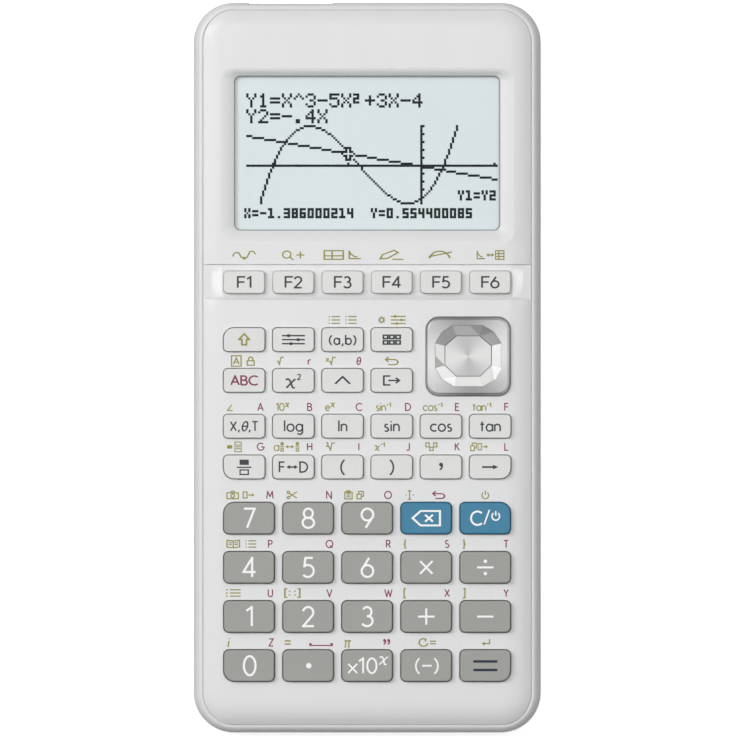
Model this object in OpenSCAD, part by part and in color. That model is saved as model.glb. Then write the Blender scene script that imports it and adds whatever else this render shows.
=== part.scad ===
// Graphing calculator: a flat handset with a dot-matrix display above a
// full keyboard, four cells behind a sliding cover, and two sockets in the
// display end. It lies on its back with the keys up (+Z) and the display
// end towards +Y. The origin is the centre of the back face, at z = 0.

/* [Body] */
// Overall width of the casing
body_w = 83.5; // [83:0.5:88]
// Overall length of the casing
body_l = 175.5; // [175:0.5:182]
// Corner radius of the casing in plan
corner_r = 9.6; // [9.2:0.2:12]
// Height of the front face at its middle
face_z = 17.2; // [17.1:0.1:17.6]
// Height of the line where the two casings meet
split_z = 8; // [7.8:0.1:8.2]
// Wall thickness of both casings
wall = 2; // [1.9:0.05:2.1]

/* [Keys] */
// Centre distance between columns of small keys
small_pitch = 11.81; // [11.7:0.01:11.9]
// Width of a small key
small_w = 9.87; // [9.4:0.01:10]
// Depth of a small key
small_d = 5.64; // [5.2:0.01:6]
// Depth of a function key
function_d = 5.45; // [5.2:0.01:6]
// Centre distance between columns of large keys
large_pitch = 14.175; // [14:0.025:14.3]
// Width of a large key
large_w = 12.05; // [11.6:0.01:12.2]
// Depth of a large key
large_d = 7.5; // [7:0.05:8]
// Height of the tops of the large keys
large_top = 18.5; // [18.3:0.1:19]
// Height of the tops of the small keys
small_top = 18.25; // [18.05:0.05:18.6]
// Gap between a key and its opening
key_gap = 0.2; // [0.15:0.05:0.3]
// Travel of a key
key_travel = 0.9; // [0.5:0.1:0.9]

/* [Display] */
// Width of the clear part of the window
view_w = 63.5; // [60:0.5:64]
// Height of the clear part of the window
view_d = 37; // [34:0.5:37.5]
// Distance of the window's centre from the middle of the body
view_y = 51.4; // [51:0.1:52]

/* [Cursor pad] */
// Width of the cursor pad
pad_w = 20.1; // [19:0.1:20.5]
// Depth of the cursor pad
pad_d = 18.8; // [18:0.1:19]
// Tilt of the cursor pad each way, in degrees
pad_tilt = 2; // [1:0.5:2]

/* [Power] */
// Diameter of one cell
cell_d = 10.3; // [10:0.1:10.4]
// Length of one cell with its terminal
cell_l = 44.5; // [44:0.1:44.8]
// Width of the battery cover
cover_w = 52.6; // [50:0.2:53]

/* [Hidden] */
$fn = 48;
overlap = 0.01;

// Colours
shell_white = [0.89, 0.89, 0.89];
contact_grey = [0.75, 0.76, 0.78];
key_white = [0.88, 0.88, 0.87];
key_grey = [0.62, 0.62, 0.60];
key_blue = [0.25, 0.49, 0.68];

// Heights through the body, from the back up
floor_z = 1.6;      // inside of the back face
head_z = 1.6;       // outer side of the screw heads
head_top = 3.2;
boss_z = 9.5;       // where screw posts meet the bosses above them
box_top = 12.6;
board_z = 12.9;
board_t = 0.7;
sheet_z = board_z + board_t;
sheet_t = 0.4;
flange_z = 15;      // flanges of the keys
flange_top = 15.7;
pivot_z = 15;
cut_z = 15;         // start of the cuts through the front face
window_z = 15.3;
plate_z = 15.8;     // underside of the front face
window_top = 16.2;
band_z = 16.85;     // bottom of the function key band
above_face = face_z + 1;

end_y = body_l / 2;

// Screws: x, y
screw_at = [
    for (side = [-1, 1])
        for (p = [[35.5, 79.5], [37.2, -8.6], [35.5, -79.5]]) [side * p.x, p.y]];
post_r = 2.3;
post_clear_r = 2.7;
screw_r = 1;

// Cursor pad
pad_x = 24.25;
pad_y = 2.67;
pad_r = 3;
pad_gap = 0.25;
pad_lip = 0.5;
pivot_r = 0.7;
bearing_r = pivot_r + 0.05;
// Top of the pad's flange: low enough that its corners clear the casing when
// the pad tilts both ways at once
pad_flange = 15.75
    - sin(pad_tilt) * ((pad_w + pad_d) / 2 + 2 * pad_lip - 0.586 * (pad_r + pad_lip));

// Battery box; the cells lie side by side, lengthways
cell_x = [-16.8, -5.6, 5.6, 16.8];
cell_z = 6.6;
box_w = 46;
box_y0 = -73;
box_y1 = -23;
box_wall = 1.2;
box_roof = 0.8;
contact_t = 0.4;
contact_w = 8;

// Reset button and sockets
reset_at = [-28, 2];
usb_x = -13.4;
jack_x = -23;
jack_z = 10.3;
jack_r = 1.3;

// ---- Shared shapes ----

// Corners run: left and right at the +Y end, then right and left at the -Y end
corner_side_x = [-1, 1, 1, -1];
corner_side_y = [1, 1, -1, -1];
corner_turn = [90, 0, 270, 180];

function four(radii) = is_list(radii) ? radii : [radii, radii, radii, radii];
function grow(radii, amount) = [for (r = four(radii)) r + amount];

// Plan of a rounded rectangle, each corner with its own radius
module plan(w, d, radii) {
    r = four(radii);
    difference() {
        square([w, d], center = true);
        for (i = [0:3]) {
            side_x = corner_side_x[i];
            side_y = corner_side_y[i];
            middle = (r[i] + 1) / 2;
            translate([side_x * (w / 2 - r[i]), side_y * (d / 2 - r[i])]) difference() {
                translate([side_x * middle, side_y * middle]) square(r[i] + 1, center = true);
                circle(r[i]);
            }
        }
    }
}

module slab(w, d, radii, z0, z1) {
    translate([0, 0, z0]) linear_extrude(z1 - z0) plan(w, d, radii);
}

// Closed section of an edge at distance half, reaching inwards by margin
function edge_section(side, half, margin, profile) = concat(
    [[side * (half - margin), profile[0][1]]],
    [for (p = profile) [side * (half - p[0]), p[1]]],
    [[side * (half - margin), profile[len(profile) - 1][1]]]);

// Solid with a rounded-rectangle plan whose edge follows profile, a list of
// [inset, height] from the bottom up
module crowned(w, d, radii, profile) {
    r = four(radii);
    z0 = profile[0][1];
    z1 = profile[len(profile) - 1][1];
    left = max(r[0], r[3]);
    right = max(r[1], r[2]);
    far = max(r[0], r[1]);
    near = max(r[2], r[3]);
    for (i = [0:3])
        translate([corner_side_x[i] * (w / 2 - r[i]), corner_side_y[i] * (d / 2 - r[i]), 0])
            rotate([0, 0, corner_turn[i]])
                rotate_extrude(angle = 90) polygon(edge_section(1, r[i], r[i], profile));
    // Long sides: side, radius at the +Y end, radius at the -Y end, margin
    for (s = [[-1, r[0], r[3], left], [1, r[1], r[2], right]])
        translate([0, d / 2 - s[1], 0]) rotate([90, 0, 0])
            linear_extrude(d - s[1] - s[2]) polygon(edge_section(s[0], w / 2, s[3], profile));
    // Ends: side, left radius, right radius, margin
    for (s = [[1, r[0], r[1], far], [-1, r[3], r[2], near]])
        translate([-w / 2 + s[1], 0, 0]) rotate([90, 0, 90])
            linear_extrude(w - s[1] - s[2]) polygon(edge_section(s[0], d / 2, s[3], profile));
    translate([-w / 2 + left, -d / 2 + near, z0])
        cube([w - left - right, d - near - far, z1 - z0]);
}

// Box given by its lowest and highest corners
module span(low, high) {
    translate(low) cube(high - low);
}

// Box centred on x = 0, with its y and z given as [from, to]
module strip(w, y, z) {
    span([-w / 2, y[0], z[0]], [w / 2, y[1], z[1]]);
}

// Slab over the display, larger than the clear view by margin
module view_slab(margin, radius, z0, z1) {
    translate([0, view_y, 0]) slab(view_w + margin, view_d + margin, radius, z0, z1);
}

// Slab that follows the casing's outline, set in from it
module inset_slab(inset, z0, z1) {
    slab(body_w - 2 * inset, body_l - 2 * inset, corner_r - inset, z0, z1);
}

module at_screws(z) {
    for (p = screw_at) translate([p.x, p.y, z]) children();
}

// Shallow recess in the display end, round both sockets
module end_recess() {
    span([-28.4, end_y - 0.5, 2.5], [-8.5, end_y + 1, 14.5]);
}

// ---- Key layout ----

// Rows from the display end down; the first small row is the function keys
small_row_y = [20.48, 6.70, -3.09, -14.08, -23.87];
large_row_y = [-36.15, -47.96, -59.76, -71.55];
small_r = 1;
large_r = 1.2;
wide_r = 2.5; // outer corners of each group of keys

// The cursor pad takes the place of the last two columns in rows 1 and 2
function small_last(row) = row == 0 || row > 2 ? 5 : 3;
small_keys = [for (row = [0:4]) for (column = [0:small_last(row)]) [column, row]];
large_keys = [for (row = [0:3]) for (column = [0:4]) [column, row]];

// A key is given as [column, row]
function small_place(key) = [(key[0] - 2.5) * small_pitch, small_row_y[key[1]]];
function large_place(key) = [(key[0] - 2) * large_pitch, large_row_y[key[1]]];
function small_size(key) = [small_w, key[1] == 0 ? function_d : small_d];
large_size = [large_w, large_d];

// Four radii with the given corner widened; -1 widens none
function widen(corner, radius) = [for (i = [0:3]) i == corner ? wide_r : radius];
function small_corners(key) = widen(
    key == [0, 1] ? 0 : key == [5, 4] ? 2 : key == [0, 4] ? 3 : -1, small_r);
function large_corners(key) = widen(
    key == [0, 0] ? 0 : key == [4, 0] ? 1 : key == [4, 3] ? 2 : key == [0, 3] ? 3 : -1,
    large_r);

// ---- Front casing and display ----

rim_z = 12.4;      // where the side starts to round over
rim_w = 2.05;
rim_h = 3.5;
groove_z = 15.6;   // bottom of the groove inside the rim
crown_inset = 2.37;
crown_w = 6.13;
crown_drop = 1.25;

// Profile: side, rounded rim, groove, crowned face
front_edge = concat(
    [[0, split_z]],
    [for (a = [0:11.25:90]) [rim_w * (1 - cos(a)), rim_z + rim_h * sin(a)]],
    [[2.06, groove_z], [2.36, groove_z]],
    [for (t = [0:0.2:1])
        [crown_inset + crown_w * t, face_z - crown_drop * pow(1 - t, 2.2)]]);
front_inside = [
    [wall, split_z - 1], [wall, rim_z], [wall + 1, 14.2], [wall + 2.6, 15.4],
    [wall + 4, plate_z]];

seat_margin = 3.2; // window seat beyond the clear view
seat_r = 2.6;
view_r = 2;
rib_z = [14.2, 17];

// Everything in the front casing that stands inside its hollow
module front_inner_features() {
    // Screw bosses
    at_screws(boss_z) cylinder(h = 7, r = post_r);
    // Frame round the window and the display module
    difference() {
        view_slab(5.8, 3, 14, 17);
        view_slab(seat_margin, seat_r, 13, 18);
    }
    // Ribs across the keyboard
    for (y = [26.6, -29.9]) strip(68, [y - 0.4, y + 0.4], rib_z);
    strip(68, [-79, -78.2], rib_z);
}

// Cut through the front face, larger than its key or pad by gap all round
module opening(place, size, radii, gap) {
    translate(place)
        slab(size.x + 2 * gap, size.y + 2 * gap, grow(radii, gap), cut_z, above_face);
}

module front_casing() {
    color(shell_white) difference() {
        crowned(body_w, body_l, corner_r, front_edge);
        difference() {
            crowned(body_w, body_l, corner_r, front_inside);
            front_inner_features();
        }
        // Sloping surround of the display
        hull() {
            view_slab(0, view_r, face_z - 0.7, face_z - 0.69);
            translate([0, view_y - 0.55, 0])
                slab(view_w + 4.5, view_d + 4.9, 3.4, face_z, above_face);
        }
        // Clear opening, and the seat that takes the window from behind
        view_slab(0, view_r, cut_z, face_z);
        view_slab(seat_margin, seat_r, cut_z, window_top);
        // Band for the function keys
        strip(78.8, [16.28, 24.83], [band_z, above_face]);
        // Key and pad openings
        for (k = small_keys)
            opening(small_place(k), small_size(k), small_corners(k), key_gap);
        for (k = large_keys)
            opening(large_place(k), large_size, large_corners(k), key_gap);
        opening([pad_x, pad_y], [pad_w, pad_d], pad_r, pad_gap);
        // Pilot holes for the screws
        at_screws(9) cylinder(h = 5.2, r = 1.02);
        // Recess in the display end, and the two socket openings
        end_recess();
        span([usb_x - 4.1, end_y - 3, 8.7], [usb_x + 4.1, end_y + 1, 13.1]);
        translate([jack_x, end_y + 1, jack_z]) rotate([90, 0, 0]) cylinder(h = 4, r = 2.15);
    }
}

module display_window() {
    color([0.8, 0.88, 0.92, 0.4]) view_slab(3, 2.5, window_z, window_top);
}

// Two stacked slabs, and the ribbon from under them towards the keyboard
module lcd_module() {
    color([0.86, 0.9, 0.9]) union() {
        view_slab(2.2, 1, 13.7, 14.5);
        view_slab(1.4, 0.8, 14.4, 15.2);
        strip(48, [27.6, view_y - view_d / 2 + 1], [sheet_z + 0.05, sheet_z + 0.2]);
    }
}

// ---- Board and dome sheet ----

// Parts under the board: x0, y0, x1, y1, depth
board_parts = [
    [-7, 1, 7, 15, 1.2],     // processor
    [14, 20, 22, 32, 1.1],   // memory
    [-16, 22, -8, 25, 2],    // timing crystal
    [reset_at.x - 2, reset_at.y - 2, reset_at.x + 2, reset_at.y + 2, 0.7]]; // reset switch
capacitor_h = 5;

module circuit_board() {
    color([0.16, 0.42, 0.25]) difference() {
        union() {
            slab(76.6, 168, 7, board_z, board_z + board_t);
            for (p = board_parts)
                span([p[0], p[1], board_z - p[4]], [p[2], p[3], board_z + overlap]);
            for (x = [-2, 4, 10])
                translate([x, 40, board_z - capacitor_h])
                    cylinder(h = capacitor_h + overlap, r = 2);
        }
        at_screws(12) cylinder(h = 3, r = post_clear_r);
        // Slot for the pivot's pillar
        translate([pad_x, pad_y, 0]) strip(12, [-2.8, 2.8], [12, 15]);
    }
}

module domes(places, z, h, r1, r2) {
    for (p = places) translate([p.x, p.y, z]) cylinder(h = h, r1 = r1, r2 = r2);
}

// Rubber sheet with one hollow dome under each key and four under the pad
module dome_sheet() {
    key_at = concat(
        [for (k = small_keys) small_place(k)],
        [for (k = large_keys) large_place(k)]);
    pad_at = [for (a = [0:90:270]) [pad_x + 9.3 * cos(a), pad_y + 8.65 * sin(a)]];
    dome_z = sheet_z + overlap;
    hollow_z = sheet_z - overlap;
    color(contact_grey) difference() {
        union() {
            translate([0, -25.75, 0]) slab(75.4, 102.5, 5, sheet_z, sheet_z + sheet_t);
            domes(key_at, z = dome_z, h = flange_z - dome_z, r1 = 2.7, r2 = 1.6);
            domes(pad_at, z = dome_z, h = 1, r1 = 1.7, r2 = 1);
        }
        domes(key_at, z = hollow_z, h = key_travel, r1 = 2.2, r2 = 1.2);
        domes(pad_at, z = hollow_z, h = 0.6, r1 = 1.3, r2 = 0.7);
        at_screws(13) cylinder(h = 3, r = post_clear_r);
        translate([pad_x, pad_y, 0]) strip(12, [-5.6, 5.6], [13, 15]);
    }
}

// ---- Rear casing and battery cover ----

rear_edge = concat(
    [for (a = [0:11.25:90]) [3.4 * (1 - sin(a)), 4.2 * (1 - cos(a))]],
    [[0, split_z]]);
rear_inside = [
    [wall + 2.2, floor_z], [wall + 0.8, 2.4], [wall + 0.15, 3.8], [wall, 5],
    [wall, split_z + 1]];
lip_inner = wall + 1.05;     // inset of the lip's inner face
rail_x = cover_w / 2 + 0.1;  // cover rails and their grooves
rail_y = [-84, -21];
bay_y = [-86, -19];          // floor and rails over the cover

// Space the cover slides in: plate recess, end wall recess and the two side grooves
module cover_way() {
    strip(cover_w + 0.6, [-end_y - 1, -19.4], [-1, 1.5]);
    strip(cover_w + 4.4, [-end_y - 1, -end_y + 1.6], [-1, 5.4]);
    for (side = [-1, 1])
        translate([side * rail_x, 0, 0]) strip(2.8, [-end_y - 1, -20.5], [1.4, 2.4]);
}

// Everything solid in the rear casing
module rear_solid() {
    difference() {
        crowned(body_w, body_l, corner_r, rear_edge);
        crowned(body_w, body_l, corner_r, rear_inside);
    }
    // Lip that locates the front casing
    difference() {
        inset_slab(wall + 0.05, 6, split_z + 1.4);
        inset_slab(lip_inner, 5, split_z + 2);
    }
    // Root that joins the lip to the wall
    difference() {
        inset_slab(1, 6, split_z - 0.5);
        inset_slab(lip_inner, 5, split_z + 2);
    }
    // Screw posts
    at_screws(1) {
        cylinder(h = 5.5, r = 3.2);
        cylinder(h = boss_z - 1, r = post_r);
    }
    // Floor over the cover, its rails and the thick end wall
    strip(49.8, bay_y, [1, 2.7]);
    for (side = [-1, 1]) translate([side * 26.6, 0, 0]) strip(5.4, bay_y, [1, 3.4]);
    strip(cover_w + 6.4, [-86, -84], [1.2, 7]);
    // Battery box
    strip(box_w + 2 * box_wall, [box_y0 - box_wall, box_y1 + box_wall], [1, box_top]);
    // Guide tube of the reset button
    translate([reset_at.x, reset_at.y, 1]) cylinder(h = 4.6, r = 3.4);
    // Pillar with two ears that carries the cursor pad's pivot
    translate([pad_x, pad_y, 0]) strip(10.8, [-2.2, 2.2], [1, 13]);
    for (side = [-1, 1])
        translate([pad_x + side * 4.7, pad_y, 0]) strip(1.4, [-1.5, 1.5], [12, 15.95]);
}

module rear_casing() {
    color(shell_white) difference() {
        union() {
            rear_solid();
        }
        cover_way();
        // Inside of the battery box, open to the cover
        strip(box_w, [box_y0, box_y1], [0, box_top - box_roof]);
        // Screw holes with sunk seats for the heads
        at_screws(-1) {
            cylinder(h = 11, r = 1.25);
            cylinder(h = head_top + 1, r = 2.35);
        }
        // Stepped hole for the reset button
        translate([reset_at.x, reset_at.y, -1]) cylinder(h = 8, r = 1.5);
        translate([reset_at.x, reset_at.y, 1.5]) cylinder(h = 8, r = 2.5);
        // Pivot bearings
        translate([pad_x - 6, pad_y, pivot_z]) rotate([0, 90, 0]) cylinder(h = 12, r = bearing_r);
        // Room for the sockets, and the recess in the display end
        span([-30, end_y - wall - 2, 7.2], [-7, end_y - wall + 0.01, 12]);
        end_recess();
    }
}

module battery_cover() {
    color(shell_white) union() {
        intersection() {
            crowned(body_w, body_l, corner_r, rear_edge);
            difference() {
                union() {
                    strip(cover_w, [-end_y - 1, -19.7], [-1, 1.3]);
                    strip(cover_w + 3.8, [-end_y - 1, -end_y + 1.5], [-1, 5.2]);
                }
                // Finger grooves
                for (i = [0:4]) strip(18, [-78 + i * 2, -77.2 + i * 2], [-1, 0.4]);
            }
        }
        // Rails that run in the rear casing's grooves, on webs from the plate
        for (side = [-1, 1]) translate([side * rail_x, 0, 0]) {
            strip(2.4, rail_y, [1.6, 2.2]);
            translate([-side * 0.7, 0, 0]) strip(1, rail_y, [1, 1.8]);
        }
    }
}

// ---- Cells, contacts and screws ----

// Alternate cells point to +Y (1) and -Y (-1)
function cell_side(i) = i % 2 == 0 ? 1 : -1;
function box_end(side) = side > 0 ? box_y1 : box_y0;

module batteries() {
    terminal_h = 1;
    color([0.3, 0.33, 0.36]) for (i = [0:3]) {
        side = cell_side(i);
        translate([cell_x[i], box_end(side) - side * contact_t, cell_z])
            rotate([side * 90, 0, 0]) {
                cylinder(h = terminal_h + 0.2, r = 1.9);
                translate([0, 0, terminal_h]) cylinder(h = cell_l - terminal_h, r = cell_d / 2);
            }
    }
}

// Flat contacts at the raised terminals; at the flat ends, springs made of
// rings on a thin cone
module battery_contacts() {
    spring_l = box_y1 - box_y0 - 2 * contact_t - cell_l;
    ring_step = (spring_l - 0.55) / 7;
    color(contact_grey) for (i = [0:3]) {
        side = cell_side(i);
        translate([cell_x[i], box_end(side) - side * contact_t / 2, cell_z])
            cube([contact_w, contact_t, contact_w], center = true);
        translate([cell_x[i], box_end(-side), cell_z]) rotate([-side * 90, 0, 0]) {
            translate([-contact_w / 2, -contact_w / 2, 0])
                cube([contact_w, contact_w, contact_t]);
            rotate_extrude() union() {
                for (k = [0:7]) translate([3.6 - k * 0.16, 0.6 + k * ring_step]) circle(0.32);
                polygon([[3.35, 0.2], [3.85, 0.2], [2.73, spring_l], [2.23, spring_l]]);
            }
        }
    }
}

// Screws with a cross slot in the head
module casing_screws() {
    color([0.55, 0.56, 0.58]) at_screws(0) difference() {
        union() {
            translate([0, 0, head_z]) cylinder(h = head_top - head_z, r = 2.1);
            translate([0, 0, head_z]) cylinder(h = 12, r = screw_r);
        }
        for (a = [0, 90]) rotate([0, 0, a]) strip(2.4, [-0.25, 0.25], [1, 2.4]);
    }
}

// ---- Sockets and reset button ----

module connector_sockets() {
    mouth = end_y - 0.7;
    usb_hole = [[-3.5, -0.4], [-3.5, 1.6], [3.5, 1.6], [3.5, -0.4], [2.6, -1.6], [-2.6, -1.6]];
    color([0.7, 0.71, 0.73]) {
        // Miniature five-way data socket
        translate([usb_x, mouth, 10.9]) rotate([90, 0, 0]) {
            difference() {
                linear_extrude(9) square([7.7, 4], center = true);
                translate([0, 0, -1]) linear_extrude(9) polygon(usb_hole);
            }
            translate([0, 0.2, 0.6]) linear_extrude(8) square([4.8, 0.9], center = true);
        }
        // Link jack for a 2.5 mm plug
        difference() {
            union() {
                span([jack_x - 3, mouth - 13, 7.9], [jack_x + 3, end_y - wall - 0.4, 12.7]);
                translate([jack_x, mouth, jack_z]) rotate([90, 0, 0]) cylinder(h = 3, r = 1.95);
            }
            translate([jack_x, mouth + 1, jack_z]) rotate([90, 0, 0])
                cylinder(h = 12.5, r = jack_r);
        }
    }
}

// Button, collar and stem
module reset_button() {
    color([0.3, 0.3, 0.32]) translate([reset_at.x, reset_at.y, 0]) {
        translate([0, 0, 0.5]) cylinder(h = 3, r = 1.4);
        translate([0, 0, 1.7]) cylinder(h = 2, r = 2.4);
        translate([0, 0, 3]) cylinder(h = 8.6, r = 1);
    }
}

// ---- Cursor pad ----

pad_edge = [[0, 14.9], [0, 17.85], [0.2, 18.15], [0.55, 18.3]];
// Faceted dish: outlines of its floor and of its rim, x and y
dish_floor = [
    [-2.8, 5.2], [2.8, 5.2], [5.7, 2.45], [5.7, -2.45],
    [2.8, -5.2], [-2.8, -5.2], [-5.7, -2.45], [-5.7, 2.45]];
dish_rim = [
    [3.2, 7.35], [6.1, 5.9], [8.05, 2.9], [8.05, -2.9], [6.1, -5.9], [3.2, -7.35],
    [-3.2, -7.35], [-6.1, -5.9], [-8.05, -2.9], [-8.05, 2.9], [-6.1, 5.9], [-3.2, 7.35]];

// Cross of two pins: one turns in the rear casing's ears, the other in the pad's
module cursor_pivot() {
    color([0.7, 0.7, 0.72]) translate([pad_x, pad_y, pivot_z]) {
        rotate([0, 90, 0]) cylinder(h = 10.6, r = pivot_r, center = true);
        rotate([90, 0, 0]) cylinder(h = 9.4, r = pivot_r, center = true);
        cube([2.6, 2.6, 1.8], center = true);
    }
}

module cursor_pad() {
    color([0.78, 0.78, 0.77]) translate([pad_x, pad_y, 0]) difference() {
        union() {
            crowned(pad_w, pad_d, pad_r, pad_edge);
            slab(pad_w + 2 * pad_lip, pad_d + 2 * pad_lip, pad_r + pad_lip, 14.62, pad_flange);
        }
        // Hollow underside, with two ears left standing for the pivot
        difference() {
            slab(pad_w - 3, pad_d - 3, 1.8, 14, 16.4);
            for (side = [-1, 1])
                translate([0, side * 3.9, 0]) strip(3, [-0.7, 0.7], [14.25, 17]);
        }
        translate([0, 6, pivot_z]) rotate([90, 0, 0]) cylinder(h = 12, r = bearing_r);
        hull() {
            translate([0, 0, 17.45]) linear_extrude(0.01) polygon(dish_floor);
            translate([0, 0, 18.3]) linear_extrude(0.5) polygon(dish_rim);
        }
    }
}

// ---- Keys ----

// Key: cap above a flange that is trapped under the front casing
module key(size, radii, top) {
    lip = 0.6;
    cap_edge = [[0, flange_top - 0.2], [0, top - 0.7], [0.12, top - 0.3], [0.45, top]];
    crowned(size.x, size.y, radii, cap_edge);
    slab(size.x + 2 * lip, size.y + 2 * lip, grow(radii, lip), flange_z, flange_top);
}

module small_key(column, row) {
    k = [column, row];
    translate(small_place(k)) key(small_size(k), small_corners(k), small_top);
}

module large_key(column, row) {
    k = [column, row];
    translate(large_place(k)) key(large_size, large_corners(k), large_top);
}

module key_f1() { color(key_white) small_key(0, 0); }
module key_f2() { color(key_white) small_key(1, 0); }
module key_f3() { color(key_white) small_key(2, 0); }
module key_f4() { color(key_white) small_key(3, 0); }
module key_f5() { color(key_white) small_key(4, 0); }
module key_f6() { color(key_white) small_key(5, 0); }
module key_shift() { color(key_white) small_key(0, 1); }
module key_options() { color(key_white) small_key(1, 1); }
module key_variables() { color(key_white) small_key(2, 1); }
module key_menu() { color(key_white) small_key(3, 1); }
module key_alpha() { color(key_white) small_key(0, 2); }
module key_square() { color(key_white) small_key(1, 2); }
module key_power() { color(key_white) small_key(2, 2); }
module key_exit() { color(key_white) small_key(3, 2); }
module key_x_theta() { color(key_white) small_key(0, 3); }
module key_log() { color(key_white) small_key(1, 3); }
module key_ln() { color(key_white) small_key(2, 3); }
module key_sin() { color(key_white) small_key(3, 3); }
module key_cos() { color(key_white) small_key(4, 3); }
module key_tan() { color(key_white) small_key(5, 3); }
module key_fraction() { color(key_white) small_key(0, 4); }
module key_convert() { color(key_white) small_key(1, 4); }
module key_open_bracket() { color(key_white) small_key(2, 4); }
module key_close_bracket() { color(key_white) small_key(3, 4); }
module key_comma() { color(key_white) small_key(4, 4); }
module key_store() { color(key_white) small_key(5, 4); }
module key_7() { color(key_grey) large_key(0, 0); }
module key_8() { color(key_grey) large_key(1, 0); }
module key_9() { color(key_grey) large_key(2, 0); }
module key_delete() { color(key_blue) large_key(3, 0); }
module key_on_clear() { color(key_blue) large_key(4, 0); }
module key_4() { color(key_grey) large_key(0, 1); }
module key_5() { color(key_grey) large_key(1, 1); }
module key_6() { color(key_grey) large_key(2, 1); }
module key_multiply() { color(key_grey) large_key(3, 1); }
module key_divide() { color(key_grey) large_key(4, 1); }
module key_1() { color(key_grey) large_key(0, 2); }
module key_2() { color(key_grey) large_key(1, 2); }
module key_3() { color(key_grey) large_key(2, 2); }
module key_plus() { color(key_grey) large_key(3, 2); }
module key_minus() { color(key_grey) large_key(4, 2); }
module key_0() { color(key_grey) large_key(0, 3); }
module key_point() { color(key_grey) large_key(1, 3); }
module key_exponent() { color(key_grey) large_key(2, 3); }
module key_negative() { color(key_grey) large_key(3, 3); }
module key_enter() { color(key_grey) large_key(4, 3); }

front_casing();
display_window();
lcd_module();
circuit_board();
dome_sheet();
rear_casing();
battery_cover();
batteries();
battery_contacts();
casing_screws();
connector_sockets();
reset_button();
cursor_pivot();
cursor_pad();
key_f1();
key_f2();
key_f3();
key_f4();
key_f5();
key_f6();
key_shift();
key_options();
key_variables();
key_menu();
key_alpha();
key_square();
key_power();
key_exit();
key_x_theta();
key_log();
key_ln();
key_sin();
key_cos();
key_tan();
key_fraction();
key_convert();
key_open_bracket();
key_close_bracket();
key_comma();
key_store();
key_7();
key_8();
key_9();
key_delete();
key_on_clear();
key_4();
key_5();
key_6();
key_multiply();
key_divide();
key_1();
key_2();
key_3();
key_plus();
key_minus();
key_0();
key_point();
key_exponent();
key_negative();
key_enter();
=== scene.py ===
"""A graphing calculator: casing, keys, cursor pad, printed legends and a working display.

It lies on its back. X runs across it to the right, Y up its face to the display end, and Z
up out of its face. Shapes are in millimetres; shaders, lights and the camera in metres.
"""
import functools
import math

import bmesh
import bpy
import numpy as np
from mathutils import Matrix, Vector
from mathutils.geometry import delaunay_2d_cdt


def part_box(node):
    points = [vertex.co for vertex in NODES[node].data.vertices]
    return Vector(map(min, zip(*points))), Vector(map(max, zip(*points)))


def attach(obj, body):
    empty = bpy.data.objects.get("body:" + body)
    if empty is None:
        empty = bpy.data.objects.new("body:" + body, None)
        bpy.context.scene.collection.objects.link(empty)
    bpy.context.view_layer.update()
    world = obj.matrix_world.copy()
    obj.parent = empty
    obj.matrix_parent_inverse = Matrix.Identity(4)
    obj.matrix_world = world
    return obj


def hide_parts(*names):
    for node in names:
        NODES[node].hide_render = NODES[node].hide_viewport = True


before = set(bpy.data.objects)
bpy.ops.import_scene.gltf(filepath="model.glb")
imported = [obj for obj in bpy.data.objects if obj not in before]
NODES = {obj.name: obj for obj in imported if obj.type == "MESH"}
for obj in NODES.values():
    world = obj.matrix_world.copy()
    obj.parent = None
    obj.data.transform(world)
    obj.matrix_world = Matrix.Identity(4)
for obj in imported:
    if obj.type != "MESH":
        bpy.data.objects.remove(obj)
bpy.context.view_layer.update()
MM = 0.001


def plan_box(node, flange):
    """Centre x and y, width and depth of a CAD node seen from above, less its flange."""
    low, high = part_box(node)
    width, depth = (high[0] - low[0]) / MM - flange, (high[1] - low[1]) / MM - flange
    return (high[0] + low[0]) / 2 / MM, (high[1] + low[1]) / 2 / MM, width, depth


def top_of(node):
    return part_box(node)[1][2] / MM


# ---------------------------------------------------------------- driving dimensions
_, _, BODY_WIDTH, BODY_LENGTH = plan_box("front_casing", 0.0)
CORNER_RADIUS = 9.6
FACE_Z = 17.2               # crown of the face
SPLIT_Z = 8.0               # joint with the rear casing
PLATE_Z = 15.8              # underside of the face
SHOULDER_Z = 12.4           # where the side wall starts to round over
SHOULDER_WIDTH, SHOULDER_HEIGHT = 2.05, 3.5
CROWN_INSET = 2.37          # the face starts to rise here, in from the outline
FACE_INSET = 3.0            # the rim loft ends and the triangulated face starts
PLATE_INSET = 6.0
END_INSET = 0.42            # the rim is this much narrower at the ends than along the sides
RECESS_X = (-28.4, -8.5)    # shallow recess round the sockets in the top end
USB_X = -13.4

# The sunken band across the face, under the function keys
BAND_Y = (16.28, 16.72, 17.05, 23.90, 24.66, 24.83)
BAND_X = (34.35, 34.9, 37.45)   # where its floor changes slope, on both sides

VIEW_WIDTH, VIEW_DEPTH, VIEW_Y, VIEW_RADIUS = 63.9, 37.2, 51.5, 1.5   # visible window

LCD_ROWS, LCD_COLUMNS = 64, 128
LCD_PITCH, LCD_LEFT, LCD_TOP = 0.475, -29.5, 66.3

KEY_FLANGE, PAD_FLANGE = 1.2, 1.0   # hidden width below the face, both sides together
PAD_X, PAD_Y, PAD_WIDTH, PAD_DEPTH = plan_box("cursor_pad", PAD_FLANGE)
PAD_RADIUS = 3.0

KEYS = [name for name in NODES if name.startswith("key_")]
LARGE = {"key_" + name for name in (
    "7 8 9 delete on_clear 4 5 6 multiply divide 1 2 3 plus minus "
    "0 point exponent negative enter").split()}
FUNCTION = {f"key_f{i}" for i in range(1, 7)}
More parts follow.
